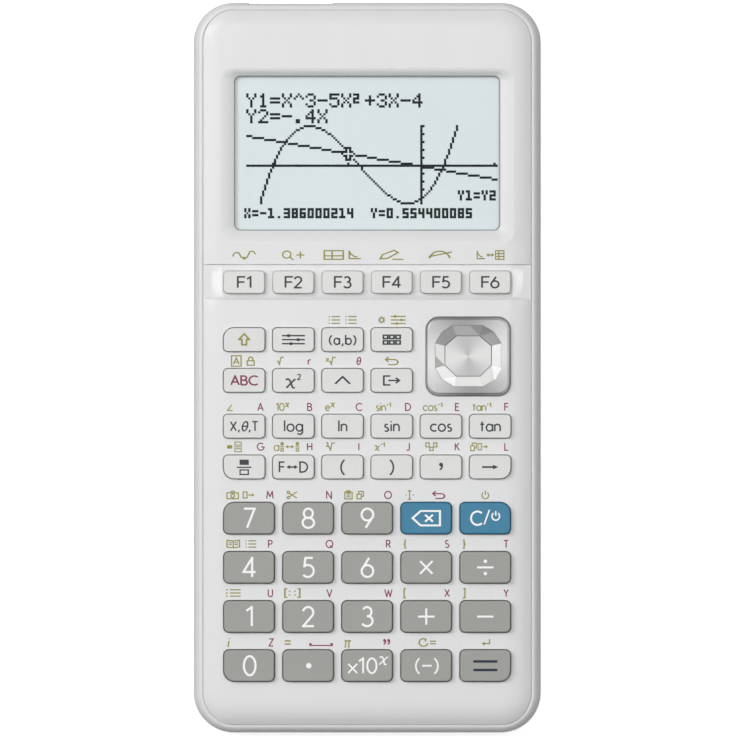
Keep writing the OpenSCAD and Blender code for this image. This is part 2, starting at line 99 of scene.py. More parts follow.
# Keys at the corners of the keyboard: index of the corner with the big radius
BIG_CORNER = {"key_shift": 0, "key_fraction": 3, "key_store": 2, "key_7": 0, "key_0": 3,
              "key_on_clear": 1, "key_enter": 2}


# ---------------------------------------------------------------- shader nodes
def math_operator(operation, flipped=False):
    """A Python operator that adds a Math node."""
    def method(value, other=None):
        pair = (other, value) if flipped else (value, other)
        return value.nodes.math(operation, *pair)
    return method


class Value:
    """A number socket. Arithmetic and comparisons on it add Math nodes."""

    def __init__(self, nodes, socket):
        self.nodes = nodes
        self.socket = socket

    __add__ = math_operator("ADD")
    __sub__ = math_operator("SUBTRACT")
    __rsub__ = math_operator("SUBTRACT", flipped=True)
    __mul__ = math_operator("MULTIPLY")
    __truediv__ = math_operator("DIVIDE")
    __mod__ = math_operator("MODULO")
    __pow__ = math_operator("POWER")
    __lt__ = math_operator("LESS_THAN")
    __gt__ = math_operator("GREATER_THAN")
    __abs__ = math_operator("ABSOLUTE")


class Nodes:
    """Short calls that add nodes to the tree of a material or a world."""

    def __init__(self, owner):
        owner.use_nodes = True
        self.tree = owner.node_tree
        self.tree.nodes.clear()
        self.texture_coords = None

    def node(self, kind, **properties):
        node = self.tree.nodes.new(kind)
        for name, value in properties.items():
            setattr(node, name, value)
        return node

    def put(self, socket, value):
        """Links a socket or stores a constant in an input."""
        if isinstance(value, Value):
            value = value.socket
        if hasattr(value, "is_output"):
            self.tree.links.new(value, socket)
        elif socket.type == "RGBA":
            socket.default_value = (*value, 1)
        else:
            socket.default_value = value

    def fill(self, node, **inputs):
        """Sets inputs by name, with underscores for spaces."""
        for name, value in inputs.items():
            self.put(node.inputs[name.replace("_", " ")], value)
        return node

    def coords(self, output="Object"):
        if self.texture_coords is None:
            self.texture_coords = self.node("ShaderNodeTexCoord")
        return self.texture_coords.outputs[output]

    def xyz(self, output="Object"):
        node = self.node("ShaderNodeSeparateXYZ")
        self.put(node.inputs[0], self.coords(output))
        return [Value(self, socket) for socket in node.outputs]

    def stretched(self, scale):
        node = self.node("ShaderNodeMapping")
        return self.fill(node, Vector=self.coords(), Scale=scale).outputs[0]

    def combined(self, *parts):
        node = self.node("ShaderNodeCombineXYZ")
        for socket, part in zip(node.inputs, parts):
            self.put(socket, part)
        return node.outputs[0]

    def noise(self, scale, detail=2.0, rough=0.5, at=None):
        node = self.node("ShaderNodeTexNoise")
        self.fill(node, Vector=self.coords() if at is None else at,
                  Scale=scale, Detail=detail, Roughness=rough)
        return Value(self, node.outputs["Fac"])

    def camera_ray(self):
        return Value(self, self.node("ShaderNodeLightPath").outputs["Is Camera Ray"])

    def math(self, operation, *values):
        node = self.node("ShaderNodeMath", operation=operation)
        for socket, value in zip(node.inputs, values):
            if value is not None:
                self.put(socket, value)
        return Value(self, node.outputs[0])

    def length(self, x, y):
        return self.math("SQRT", x * x + y * y)

    def remap(self, value, span, to, smooth=False):
        node = self.node("ShaderNodeMapRange")
        if smooth:
            node.interpolation_type = "SMOOTHSTEP"
        for socket, number in zip(node.inputs, (value, *span, *to)):
            self.put(socket, number)
        return Value(self, node.outputs[0])

    def mix(self, factor, off, on):
        """Colour off where the factor is 0 and on where it is 1."""
        node = self.node("ShaderNodeMix", data_type="RGBA")
        for index, value in ((0, factor), (6, off), (7, on)):
            self.put(node.inputs[index], value)
        return node.outputs[2]


class Material(Nodes):
    """A Principled material. Texture space is the part's own frame in metres."""

    def __init__(self, name):
        self.data = bpy.data.materials.new(name)
        super().__init__(self.data)
        output = self.node("ShaderNodeOutputMaterial")
        self.shader = self.node("ShaderNodeBsdfPrincipled")
        self.put(output.inputs[0], self.shader.outputs[0])

    def set(self, **inputs):
        self.fill(self.shader, **inputs)

    def tint(self, pattern, color, low, high):
        """Base colour that follows a pattern between two brightnesses of one colour."""
        self.set(Base_Color=self.mix(pattern, shade(color, low), shade(color, high)))

    def roughness(self, pattern, low, high, span=(0.2, 0.8)):
        self.set(Roughness=self.remap(pattern, span=span, to=(low, high)))

    def bump(self, height, distance, strength):
        node = self.node("ShaderNodeBump")
        self.fill(node, Distance=distance, Strength=strength, Height=height)
        self.set(Normal=node.outputs[0])


def shade(color, factor):
    return tuple(min(1.0, channel * factor) for channel in color)


def between(value, low, high):
    return (value > low) * (value < high)


# ---------------------------------------------------------------- plastics, metals and inks
def plastic(name, color, rough, cloud, grain=7000.0, depth=4e-6, specular=0.5, rough_var=0.05):
    """Moulded plastic: slow tint clouds, a fine eroded grain, and uneven gloss."""
    mat = Material(name)
    clouds = mat.noise(scale=55.0, detail=3.0)
    speckle = mat.noise(scale=2600.0)
    mat.tint(clouds * 0.7 + speckle * 0.3, color, low=1 - cloud, high=1 + cloud)
    wipe = mat.noise(scale=120.0, detail=4.0, rough=0.6, at=mat.stretched((1.0, 0.25, 1.0)))
    mat.roughness(wipe, rough - rough_var, rough + rough_var, span=(0.25, 0.75))
    mat.set(Specular_IOR_Level=specular, Coat_Roughness=0.12)
    fine = mat.noise(scale=grain, rough=0.6)
    ripple = mat.noise(scale=420.0)
    mat.bump(fine + ripple * 1.5, distance=depth, strength=0.55)
    return mat


def metal(name, color, rough, streak):
    """Plated metal with drawn streaks."""
    mat = Material(name)
    streaks = mat.noise(scale=1.0, detail=3.0, rough=0.6, at=mat.stretched(streak))
    clouds = mat.noise(scale=180.0, detail=3.0)
    mat.tint(streaks * 0.6 + clouds * 0.4, color, low=0.94, high=1.06)
    mat.set(Metallic=1.0)
    mat.roughness(streaks, rough - 0.08, rough + 0.1)
    mat.bump(streaks, distance=3e-6, strength=0.5)
    return mat


def ink(name, color):
    mat = Material(name)
    mottle = mat.noise(scale=2200.0)
    mat.tint(mottle, color, low=0.93, high=1.05)
    mat.roughness(mottle, 0.40, 0.50)
    mat.set(Specular_IOR_Level=0.2)
    return mat


SHELL_COLOR = (0.655, 0.656, 0.658)
SHELL_PLASTIC = plastic("shell_plastic", SHELL_COLOR, rough=0.36, cloud=0.010,
                        grain=6500.0, depth=5e-6)
BACK_PLASTIC = plastic("shell_plastic_back", shade(SHELL_COLOR, 0.985), rough=0.46,
                       cloud=0.014, grain=3800.0, depth=1.3e-5)
BAND_PLASTIC = plastic("band_plastic", (0.640, 0.642, 0.645), rough=0.14, cloud=0.008,
                       grain=9000.0, depth=1.2e-6, specular=0.6, rough_var=0.02)
KEY_GRAIN = {"grain": 7500.0, "depth": 3.5e-6, "specular": 0.22}
KEY_WHITE = plastic("key_white_plastic", (0.662, 0.662, 0.648), 0.33, 0.010, **KEY_GRAIN)
KEY_GREY = plastic("key_grey_plastic", (0.310, 0.314, 0.292), 0.34, 0.014, **KEY_GRAIN)
KEY_BLUE = plastic("key_blue_plastic", (0.033, 0.188, 0.314), 0.32, 0.020, **KEY_GRAIN)
DARK_PLASTIC = plastic("dark_plastic", (0.035, 0.036, 0.04), rough=0.42, cloud=0.05)
STEEL = metal("plated_steel", (0.72, 0.72, 0.73), rough=0.26, streak=(400.0, 9000.0, 9000.0))
NICKEL = metal("nickel_plate", (0.74, 0.72, 0.67), rough=0.24, streak=(9000.0, 400.0, 9000.0))
INK_DARK = ink("legend_dark", (0.045, 0.050, 0.055))
INK_WHITE = ink("legend_white", (0.86, 0.87, 0.86))
INK_OCHRE = ink("legend_ochre", (0.275, 0.248, 0.045))
INK_MAGENTA = ink("legend_magenta", (0.236, 0.038, 0.098))
INK_NAVY = ink("legend_navy", (0.009, 0.024, 0.040))


# ---------------------------------------------------------------- materials of the CAD nodes
def window_material():
    mat = Material("window_acrylic")
    clouds = mat.noise(scale=35.0)
    tint = mat.mix(clouds, (0.14, 0.17, 0.18), (0.18, 0.21, 0.22))
    mat.set(Base_Color=tint, Alpha=0.02, IOR=1.49)
    mat.roughness(clouds, 0.06, 0.10)
    mat.data.blend_method = "BLEND"
    return mat


def lcd_material():
    """Reflector under a faint lattice of resting dots, with painted light in its left margin;
    tray, glass edge and ribbon below.
    """
    mat = Material("lcd_glass_and_tray")
    x, y, z = mat.xyz()
    pitch = LCD_PITCH * MM
    left, right = LCD_LEFT * MM, (LCD_LEFT + LCD_COLUMNS * LCD_PITCH) * MM
    low, high = (LCD_TOP - LCD_ROWS * LCD_PITCH) * MM, LCD_TOP * MM
    gap, blur = 0.07, 0.04     # share of the pitch left clear at each side, and its soft edge

    def inside_dot(fraction):
        return (mat.remap(fraction, span=(gap, gap + blur), to=(0, 1))
                * mat.remap(fraction, span=(1 - gap - blur, 1 - gap), to=(1, 0)))

    across = inside_dot(mat.math("FRACT", (x + -left) / pitch))
    along = inside_dot(mat.math("FRACT", (y + -low) / pitch))
    dots = across * along * (between(x, left, right) * between(y, low, high))
    clouds = mat.noise(scale=30.0)
    base = mat.mix(clouds, (0.653, 0.727, 0.739), (0.694, 0.768, 0.780))
    # Painted light: the reflector is drawn paler in the margin left of the dots, to offset the
    # shadow the surround casts there
    margin = mat.remap(x, span=(-0.0318, -0.0303), to=(1.0, 0.0)) ** 1.4
    base = mat.mix(margin, base, (0.930, 0.965, 0.970))
    face = mat.mix(dots * 0.035, base, (0.30, 0.36, 0.38))
    stripes = mat.math("FRACT", x / 0.0008) > 0.55
    ribbon = mat.mix(stripes, (0.55, 0.28, 0.06), (0.30, 0.14, 0.03))
    tray = mat.mix(mat.noise(scale=900.0), (0.55, 0.56, 0.57), (0.66, 0.67, 0.68))
    lower = mat.mix(y < 0.0315, tray, ribbon)
    mat.set(Base_Color=mat.mix(z > 0.01515, lower, face), Specular_IOR_Level=0.25)
    mat.roughness(mat.noise(scale=400.0), 0.30, 0.42)
    mat.bump(mat.noise(scale=5200.0), distance=2.5e-6, strength=0.4)
    return mat


def board_material():
    """Green mask with traces and bright spots; dark parts and cans on the lower side."""
    mat = Material("solder_mask_and_parts")
    _, y, z = mat.xyz()
    cells = mat.node("ShaderNodeTexVoronoi", feature="DISTANCE_TO_EDGE")
    mat.fill(cells, Vector=mat.stretched((1.0, 0.35, 1.0)), Scale=420.0)
    trace = mat.remap(cells.outputs["Distance"], span=(0.03, 0.06), to=(1, 0))
    mask = mat.mix(trace, (0.020, 0.135, 0.055), (0.050, 0.240, 0.095))
    spots = mat.noise(scale=1500.0, detail=1.0) > 0.69
    mask = mat.mix(spots, mask, (0.62, 0.60, 0.52))
    part = mat.mix(mat.noise(scale=700.0), (0.018, 0.018, 0.020), (0.035, 0.035, 0.038))
    can = mat.mix(z < 0.0090, (0.03, 0.07, 0.16), (0.62, 0.63, 0.64))
    part = mat.mix(y > 0.035, part, can)
    mat.set(Base_Color=mat.mix(z < 0.01286, mask, part))
    mat.roughness(mat.noise(scale=300.0), 0.28, 0.5)
    trace_relief = 1.0
    mat.bump(trace * trace_relief, distance=2e-5, strength=0.5)
    return mat


def rubber_material():
    mat = Material("silicone_rubber")
    clouds = mat.noise(scale=260.0, detail=3.0)
    mat.set(Base_Color=mat.mix(clouds, (0.44, 0.45, 0.47), (0.53, 0.54, 0.56)))
    mat.roughness(clouds, 0.55, 0.75)
    mat.bump(mat.noise(scale=3200.0, detail=3.0), distance=8e-6, strength=0.6)
    return mat


def cell_material():
    """Cells side by side, head to tail: steel end, copper sleeve, charcoal sleeve, steel base."""
    mat = Material("cell_can_and_film")
    low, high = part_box("batteries")
    pitch = 0.0112
    x, y, _ = mat.xyz()
    odd = mat.math("FLOOR", (x + 2 * pitch) / pitch) % 2.0
    from_top = mat.math("SUBTRACT", high[1], y)
    from_low = y - low[1]
    along = from_top * (1.0 - odd) + from_low * odd    # distance from each cell's own head
    film = mat.mix(along > 0.0142, (0.60, 0.29, 0.09), (0.022, 0.024, 0.028))
    film = mat.mix(between(along, 0.0137, 0.0147), film, (0.80, 0.80, 0.78))
    film = mat.mix(between(along, 0.0365, 0.0372), film, (0.55, 0.30, 0.10))
    film = mat.mix(mat.noise(scale=300.0, detail=3.0) * 0.25, film, (0.0, 0.0, 0.0))
    steel = mat.math("MAXIMUM", along < 0.0020, along > 0.0439)
    mat.set(Base_Color=mat.mix(steel, film, (0.70, 0.70, 0.71)), Metallic=steel * 0.6 + 0.4)
    mat.roughness(mat.noise(scale=200.0), 0.22, 0.34)
    mat.bump(mat.noise(scale=900.0), distance=1e-5, strength=0.2)
    return mat


def socket_material():
    """Streaked metal shells; the round jack and the tongue of the other socket are dark."""
    mat = Material("socket_shells")
    x, _, z = mat.xyz()
    tongue = (abs(x + -USB_X * MM) < 0.00255) * (abs(z + -0.0111) < 0.0006)
    dark = mat.math("MAXIMUM", x < -0.0185, tongue)
    streaks = mat.noise(scale=1.0, detail=3.0, rough=0.6,
                        at=mat.stretched((6000.0, 500.0, 6000.0)))
    shell = mat.mix(streaks, (0.60, 0.60, 0.61), (0.74, 0.74, 0.75))
    mat.set(Base_Color=mat.mix(dark, shell, (0.022, 0.022, 0.024)), Metallic=1.0 - dark)
    mat.roughness(streaks, 0.22, 0.38)
    mat.bump(streaks, distance=4e-6, strength=0.4)
    return mat


def screw_material():
    mat = Material("zinc_plated_screw")
    mottle = mat.noise(scale=3000.0, detail=3.0)
    mat.set(Base_Color=mat.mix(mottle, (0.42, 0.42, 0.43), (0.58, 0.58, 0.59)), Metallic=1.0)
    mat.roughness(mottle, 0.25, 0.45)
    mat.bump(mottle, distance=5e-6, strength=0.5)
    return mat


# ---------------------------------------------------------------- outlines
def clamp(value):
    return min(max(value, 0.0), 1.0)


def smoothstep(value):
    share = clamp(value)
    return share * share * (3 - 2 * share)


def rounded_rect(width, depth, radius, inset=0.0, center=(0.0, 0.0), segments=6,
                 sides=((), (), (), ())):
    """Anticlockwise rounded rectangle.

    radius is one number or a list: top left, top right, bottom right, bottom left.
    sides holds extra points on the straight runs: right ys, top xs, left ys, bottom xs.
    """
    radii = radius if isinstance(radius, list) else [radius] * 4
    radii = [max(value - inset, 0.02) for value in radii]
    half_width, half_depth = width / 2 - inset, depth / 2 - inset
    center_x, center_y = center
    right, top, left, bottom = sides
    runs = ([(center_x + half_width, y) for y in sorted(right)],
            [(x, center_y + half_depth) for x in sorted(top, reverse=True)],
            [(center_x - half_width, y) for y in sorted(left, reverse=True)],
            [(x, center_y - half_depth) for x in sorted(bottom)])
    # Sign of x and y, index of the radius, and start angle of each corner
    corners = ((1, -1, 2, -90), (1, 1, 1, 0), (-1, 1, 0, 90), (-1, -1, 3, 180))
    points = []
    for (sign_x, sign_y, index, start), run in zip(corners, runs):
        bend = radii[index]
        bend_x, bend_y = sign_x * (half_width - bend), sign_y * (half_depth - bend)
        for k in range(segments + 1):
            angle = math.radians(start + 90 * k / segments)
            points.append((center_x + bend_x + bend * math.cos(angle),
                           center_y + bend_y + bend * math.sin(angle)))
        points.extend(run)
    return points


def circle(center_x, center_y, radius, count):
    return [(center_x + radius * math.cos(2 * math.pi * k / count),
             center_y + radius * math.sin(2 * math.pi * k / count)) for k in range(count)]


def at_z(points, z):
    return [(x, y, z) for x, y in points]


def double_area(points):
    """Twice the signed area; positive for anticlockwise."""
    return sum(a[0] * b[1] - b[0] * a[1] for a, b in zip(points, points[1:] + points[:1]))


def anticlockwise(face, points):
    face = list(face)
    return face if double_area([points[i] for i in face]) > 0 else face[::-1]


def inside(centers, polygon):
    """For each centre, whether it lies in the polygon."""
    x, y = np.array(polygon).T
    next_x, next_y = np.roll(x, -1), np.roll(y, -1)
    center_x, center_y = centers.T[:, :, None]
    crosses = (y > center_y) != (next_y > center_y)
    with np.errstate(divide="ignore", invalid="ignore"):
        reach = (next_x - x) * (center_y - y) / (next_y - y) + x
    return (crosses & (center_x < reach)).sum(axis=1) % 2 == 1


def triangulate(rings, extra_points=(), extra_lines=()):
    """Triangles inside rings[0] and outside the other rings.

    Returns the points, the triangles, and for every ring its points' indices in the output.
    """
    points, edges, owners = [], [], []
    for ring in rings:
        base, count = len(points), len(ring)
        points.extend(ring)
        owners.append(range(base, base + count))
        edges.extend((base + i, base + (i + 1) % count) for i in range(count))
    points.extend(extra_points)
    for line in extra_lines:
        base = len(points)
        points.extend(line)
        edges.extend((base + i, base + i + 1) for i in range(len(line) - 1))
    plain = [(float(x), float(y)) for x, y in points]
    result = delaunay_2d_cdt(plain, edges, [], 0, 1e-6, True)
    points = [(point[0], point[1]) for point in result[0]]
    where = {source: k for k, sources in enumerate(result[3]) for source in sources}
    centers = np.array([np.mean([points[i] for i in face], axis=0) for face in result[2]])
    kept = inside(centers, rings[0])
    for hole in rings[1:]:
        kept &= ~inside(centers, hole)
    triangles = [anticlockwise(face, points) for face, keep in zip(result[2], kept) if keep]
    return points, triangles, [[where[i] for i in owner] for owner in owners]


# ---------------------------------------------------------------- mesh helpers
def place(name, data):
    obj = bpy.data.objects.new(name, data)
    bpy.context.scene.collection.objects.link(obj)
    return obj


def shade_smooth(obj, sharp):
    """Smooth shading with edges sharper than the angle, in degrees, kept hard."""
    mesh = obj.data
    mesh.polygons.foreach_set("use_smooth", [True] * len(mesh.polygons))
    mesh.set_sharp_from_angle(angle=math.radians(sharp))


def weight_normals(obj):
    modifier = obj.modifiers.new("weighted", "WEIGHTED_NORMAL")
    modifier.keep_sharp = True


def drop_loose(obj):
    """Removes the spare vertices left by welding."""
    work = bmesh.new()
    work.from_mesh(obj.data)
    loose = [vertex for vertex in work.verts if not vertex.link_faces]
    if loose:
        bmesh.ops.delete(work, geom=loose, context="VERTS")
        work.to_mesh(obj.data)
    work.free()


class Builder:
    """Vertices in millimetres and faces with a material slot."""

    def __init__(self):
        self.points, self.faces, self.slots = [], [], []

    def add(self, points):
        first = len(self.points)
        self.points.extend(tuple(point) for point in points)
        return list(range(first, first + len(points)))

    def face(self, ids, slot=0):
        self.faces.append(list(ids))
        self.slots.append(slot)

    def bridge(self, lower, upper):
        count = len(lower)
        for i in range(count):
            j = (i + 1) % count
            self.face([lower[i], lower[j], upper[j], upper[i]])

    def extend(self, ids, rings, flip=False):
        """Carries a surface on from a ring through new ones. Returns the last ring's ids."""
        for ring in rings:
            new = self.add(ring)
            self.bridge(*((new, ids) if flip else (ids, new)))
            ids = new
        return ids

    def loft(self, rings):
        """Outward faces for anticlockwise rings, lowest first. Returns first and last ids."""
        first = self.add(rings[0])
        return first, self.extend(first, rings[1:])

    def make(self, name, materials, sharp=None, weighted=True):
        """Makes the object: flat shaded, or smooth up to the sharp angle."""
        mesh = bpy.data.meshes.new(name)
        points = [(x * MM, y * MM, z * MM) for x, y, z in self.points]
        mesh.from_pydata(points, [], self.faces)
        mesh.validate()
        for material in materials:
            mesh.materials.append(material.data)
        # validate() may have dropped faces, and then the slots no longer line up
        if len(mesh.polygons) == len(self.slots):
            mesh.polygons.foreach_set("material_index", self.slots)
        mesh.update()
        obj = place(name, mesh)
        if sharp is not None:
            shade_smooth(obj, sharp)
            if weighted:
                weight_normals(obj)
        return obj


def weld_map(base, owners, edges):
    """Maps a triangulation's ring vertices to the loft vertices already at those places."""
    return {base[i]: j for owner, edge in zip(owners, edges) for i, j in zip(owner, edge)}


# ---------------------------------------------------------------- height of the face
def past_corner(x, y):
    """How far a point lies past the centre of the nearest corner arc, in x and y."""
    return (abs(x) - (BODY_WIDTH / 2 - CORNER_RADIUS),
            abs(y) - (BODY_LENGTH / 2 - CORNER_RADIUS))


def inset_of(x, y):
    """How far a point lies inside the casing outline."""
    past_x, past_y = past_corner(x, y)
    reach = math.hypot(max(past_x, 0), max(past_y, 0))
    return -(reach + min(max(past_x, past_y), 0) - CORNER_RADIUS)


def end_share(x, y):
    """1 beside the two ends, 0 beside the long sides, blended round the corners."""
    past_x, past_y = past_corner(x, y)
    if past_x > 0 and past_y > 0:
        return past_y * past_y / (past_x * past_x + past_y * past_y)
    return 1.0 if past_y > past_x else 0.0


def pillow(x, y):
    """Height of the crowned face without its band."""
    drop, width = 1.25, 6.13
    share = end_share(x, y)
    rise = clamp((inset_of(x, y) - CROWN_INSET + END_INSET * share) / width)
    return FACE_Z - drop * (1 - rise) ** (2.2 + 1.1 * share)


def band_floor(x):
    """Height of the band's floor: level in the middle, falling away beyond the keys."""
    out = abs(x) - BAND_X[0]
    if out <= 0:
        return 16.74
    if out <= 0.55:
        return 16.74 - 0.10 * out
    if out <= 3.1:
        return 16.685 - 0.208 * (out - 0.55)
    return 16.155 - 0.09 * (out - 3.1)


def face_height(x, y):
    crown = pillow(x, y)
    if y <= BAND_Y[0] or y >= BAND_Y[5]:
        return crown
    low = min(band_floor(x), crown)
    groove = low - min(0.14, max(0.0, (crown - low) * 0.45))
    return float(np.interp(y, BAND_Y, (crown, groove, low, low, groove, crown)))


# ---------------------------------------------------------------- front casing
RIM_Y = sorted({*BAND_Y, 16.5, 24.75, *np.arange(-76, 77, 4.0).tolist()})
BOTTOM_X = np.arange(-31, 32, 3.1).tolist()
TOP_X = sorted({-29.4, -28.9, -28.55, -28.4, -28.2, -8.7, -8.5, -8.35, -8.0, -7.5,
                *(x for x in BOTTOM_X if not -30 < x < -26 and not -10 < x < -6)})


def key_radii(node):
    radii = [1.2 if node in LARGE else 1.0] * 4
    if node in BIG_CORNER:
        radii[BIG_CORNER[node]] = 2.5
    return radii


def grown(radii, amount):
    return [radius + amount for radius in radii]


# Rounded edge of an opening: how far out from the wall, and how far below the face
KEY_EDGE = [(0.10, 0.0), (0.05, 0.01), (0.015, 0.04), (0.0, 0.10)]
PAD_EDGE = [(0.12, 0.0), (0.06, 0.015), (0.02, 0.05), (0.0, 0.12)]


def casing_outline(inset):
    return rounded_rect(BODY_WIDTH, BODY_LENGTH, CORNER_RADIUS, inset, segments=20,
                        sides=(RIM_Y, TOP_X, RIM_Y, BOTTOM_X))


def outer_rim(inset, z=None):
    """Outer casing ring at height z, or on the face, with draft and the socket recess."""
    points = []
    for x, y in casing_outline(inset):
        if 0 < inset < 2.95:
            widen = END_INSET * end_share(x, y) * min(1.0, inset / SHOULDER_WIDTH)
            y += math.copysign(widen, y)
        height = face_height(x, y) if z is None else z
        draft = 0.16 * clamp((height - 9.0) / 3.4)
        if z is not None and inset < 2.2:
            lean = draft * max(0.0, 1 - inset / 2.1)
            x *= 1 - lean / (BODY_WIDTH / 2)
            y *= 1 - 0.25 * lean / (BODY_LENGTH / 2)
        if height < 14.9 and y > 0:
            recess = (smoothstep((x - (RECESS_X[0] - 0.35)) / 0.4)
                      * smoothstep(((RECESS_X[1] + 0.35) - x) / 0.4))
            y = min(y, BODY_LENGTH / 2 - 0.25 * draft - 0.5 * recess)
        points.append((x, y, height))
    return points


def casing_walls(build):
    """Outer and inner walls. Returns the ids where the face and the plate join on."""
    # Inset and z up the outer wall, over the shoulder, and into the groove beside the face
    profile = [(0.14, SPLIT_Z), (0.03, SPLIT_Z + 0.05), (0.0, SPLIT_Z + 0.16),
               (0.0, 9.4), (0.0, 11.0), (0.0, SHOULDER_Z)]
    for degrees in np.arange(7.5, 90.1, 7.5):
        angle = math.radians(degrees)
        profile.append((SHOULDER_WIDTH * (1 - math.cos(angle)),
                        SHOULDER_Z + SHOULDER_HEIGHT * math.sin(angle)))
    profile += [(2.14, 15.86), (2.17, 15.6), (2.30, 15.6)]
    rings = [outer_rim(inset, z) for inset, z in profile]
    rings.append([(x, y, z - 0.10) for x, y, z in outer_rim(CROWN_INSET)])
    rings += [outer_rim(inset) for inset in (2.44, 2.6, FACE_INSET)]
    bottom, face_edge = build.loft(rings)
    inner = ((0.3, SPLIT_Z), (2.0, SPLIT_Z), (2.0, SHOULDER_Z), (3.0, 14.2), (4.6, 15.4),
             (PLATE_INSET, PLATE_Z))
    inner_rings = [at_z(casing_outline(inset), z) for inset, z in inner]
    return face_edge, build.extend(bottom, inner_rings, flip=True)


def opening_cutout(box, radii, gap, edge, segments):
    """Hole round a key or the pad: its ring on the face, the rings below, its plate ring."""
    center_x, center_y, width, depth = box
    width, depth, radii = width + 2 * gap, depth + 2 * gap, grown(radii, gap)
    rings = [rounded_rect(width + 2 * out, depth + 2 * out, grown(radii, out),
                          center=(center_x, center_y), segments=segments) for out, _ in edge]
    top, base = rings[0], rings[-1]
    below = [[(x, y, face_height(*above) - drop) for (x, y), above in zip(ring, top)]
             for ring, (_, drop) in zip(rings[1:], edge[1:])]
    return top, below + [at_z(base, PLATE_Z)], base


def key_cutout(node):
    gap = 0.05 if node in FUNCTION else 0.19 if node in LARGE else 0.17
    return opening_cutout(plan_box(node, KEY_FLANGE), key_radii(node), gap, KEY_EDGE, 6)


def pad_cutout():
    box = (PAD_X, PAD_Y, PAD_WIDTH, PAD_DEPTH)
    return opening_cutout(box, [PAD_RADIUS] * 4, 0.17, PAD_EDGE, 12 - 2)


def display_cutout():
    """Display surround: a steep upper ramp, broad rolled ramps at the sides and below, a
    short upright lip, and the window's seat."""
    side_ramp, top_ramp, low_ramp = 3.4, 1.95, 3.3
    segments = 12
    lip_z, seat_z = 16.28, 16.205

    def surround(share):
        """Ring between the window (0) and the top of the ramps (1)."""
        return rounded_rect(VIEW_WIDTH + 2 * side_ramp * share,
                            VIEW_DEPTH + (top_ramp + low_ramp) * share,
                            VIEW_RADIUS + 1.7 * share,
                            center=(0, VIEW_Y + (top_ramp - low_ramp) * share / 2),
                            segments=segments)

    # 1 at points on the upper side, 0 at the sides and below
    upper = [max(0.0, math.sin(math.radians(start + 90 * k / segments))) ** 2
             for start in (-90, 0, 90, 180) for k in range(segments + 1)]
    top = surround(1.0)
    below = []
    for share in (0.97, 0.92, 0.84, 0.74, 0.62, 0.50, 0.38, 0.26, 0.14, 0.05):
        rolled = 1 - (1 - share) ** 1.75
        steep = min(1.0, share * 1.72) - 0.10 * math.exp(-((share - 0.63) / 0.15) ** 2)
        row = []
        for (x, y), above, up in zip(surround(share), top, upper):
            climb = min(rolled * (1 - up) + steep * up, 1.0)
            row.append((x, y, lip_z + (face_height(*above) - lip_z) * climb))
        below.append(row)
    window = surround(0.0)
    seat = rounded_rect(66.7, 40.2, 2.6, center=(0, 51.4), segments=segments)
    below += [at_z(window, lip_z - 0.02), at_z(window, seat_z), at_z(seat, seat_z),
              at_z(seat, PLATE_Z)]
    return top, below, seat


def band_gap(y):
    return min(abs(y - edge) for edge in BAND_Y)


def face_points(rings):
    """Points inside the face: rings that follow the crowned edge, and a grid."""
    boxes = []
    for ring in rings:
        corners = np.array(ring)
        boxes.append((*(corners.min(axis=0) - 0.5), *(corners.max(axis=0) + 0.5)))

    def free(x, y, margin=0.0):
        if any(left - margin < x < right + margin and low - margin < y < high + margin
               for left, low, right, high in boxes):
            return False
        return band_gap(y) > 0.5 or abs(x) > 38.9

    points = []
    side_y = [y + 1.3 for y in RIM_Y if band_gap(y) > 1.5]
    for inset in (3.7, 4.5, 5.4, 6.4, 7.4, 8.5):
        ring = rounded_rect(BODY_WIDTH, BODY_LENGTH, CORNER_RADIUS, inset, segments=16,
                            sides=(side_y, BOTTOM_X, side_y, BOTTOM_X))
        points += [(x, y) for x, y in ring if free(x, y)]
    for x in np.arange(-31.5, 31.6, 4.5):
        points += [(float(x), float(y)) for y in np.arange(-78, 79, 4.1) if free(x, y, 0.3)]
    return points


def band_lines():
    """Creases of the band, along it and across it."""
    edge = BODY_WIDTH / 2 - FACE_INSET - 1e-6
    stations = [-edge, *(-x for x in reversed(BAND_X)), *BAND_X, edge]
    lines = [[(x, y) for x in stations] for y in BAND_Y]
    for x in BAND_X:
        # The innermost crease stops short of the end keys' openings
        runs = (BAND_Y[:3], BAND_Y[3:]) if x == BAND_X[0] else (BAND_Y,)
        for side in (-1, 1):
            lines += [[(side * x, y) for y in run] for run in runs]
    return lines


def make_front_casing():
    build = Builder()
    face_edge, plate_edge = casing_walls(build)
    cutouts = [key_cutout(node) for node in KEYS] + [pad_cutout(), display_cutout()]
    face_rings = [top for top, _, _ in cutouts]

    points, triangles, owners = triangulate([casing_outline(FACE_INSET)] + face_rings,
                                            face_points(face_rings), band_lines())
    base = build.add([(x, y, face_height(x, y)) for x, y in points])
    weld = weld_map(base, owners[:1], [face_edge])
    for triangle in triangles:
        x, y = (sum(points[i][axis] for i in triangle) / len(triangle) for axis in (0, 1))
        in_band = BAND_X[1] < abs(x) < BAND_X[2] and BAND_Y[2] < y < BAND_Y[3]
        build.face([weld.get(base[i], base[i]) for i in triangle], int(in_band))

    plate_edges = [plate_edge]
    for owner, (_, below, _) in zip(owners[1:], cutouts):
        plate_edges.append(build.extend([base[i] for i in owner], below))
    points, triangles, owners = triangulate(
        [casing_outline(PLATE_INSET)] + [plate for _, _, plate in cutouts])
    base = build.add(at_z(points, PLATE_Z))
    weld = weld_map(base, owners, plate_edges)
    for triangle in triangles:
        build.face([weld.get(base[i], base[i]) for i in triangle][::-1])
    obj = build.make("front_casing_shell", [SHELL_PLASTIC, BAND_PLASTIC], sharp=32,
                     weighted=False)
    drop_loose(obj)
    return obj


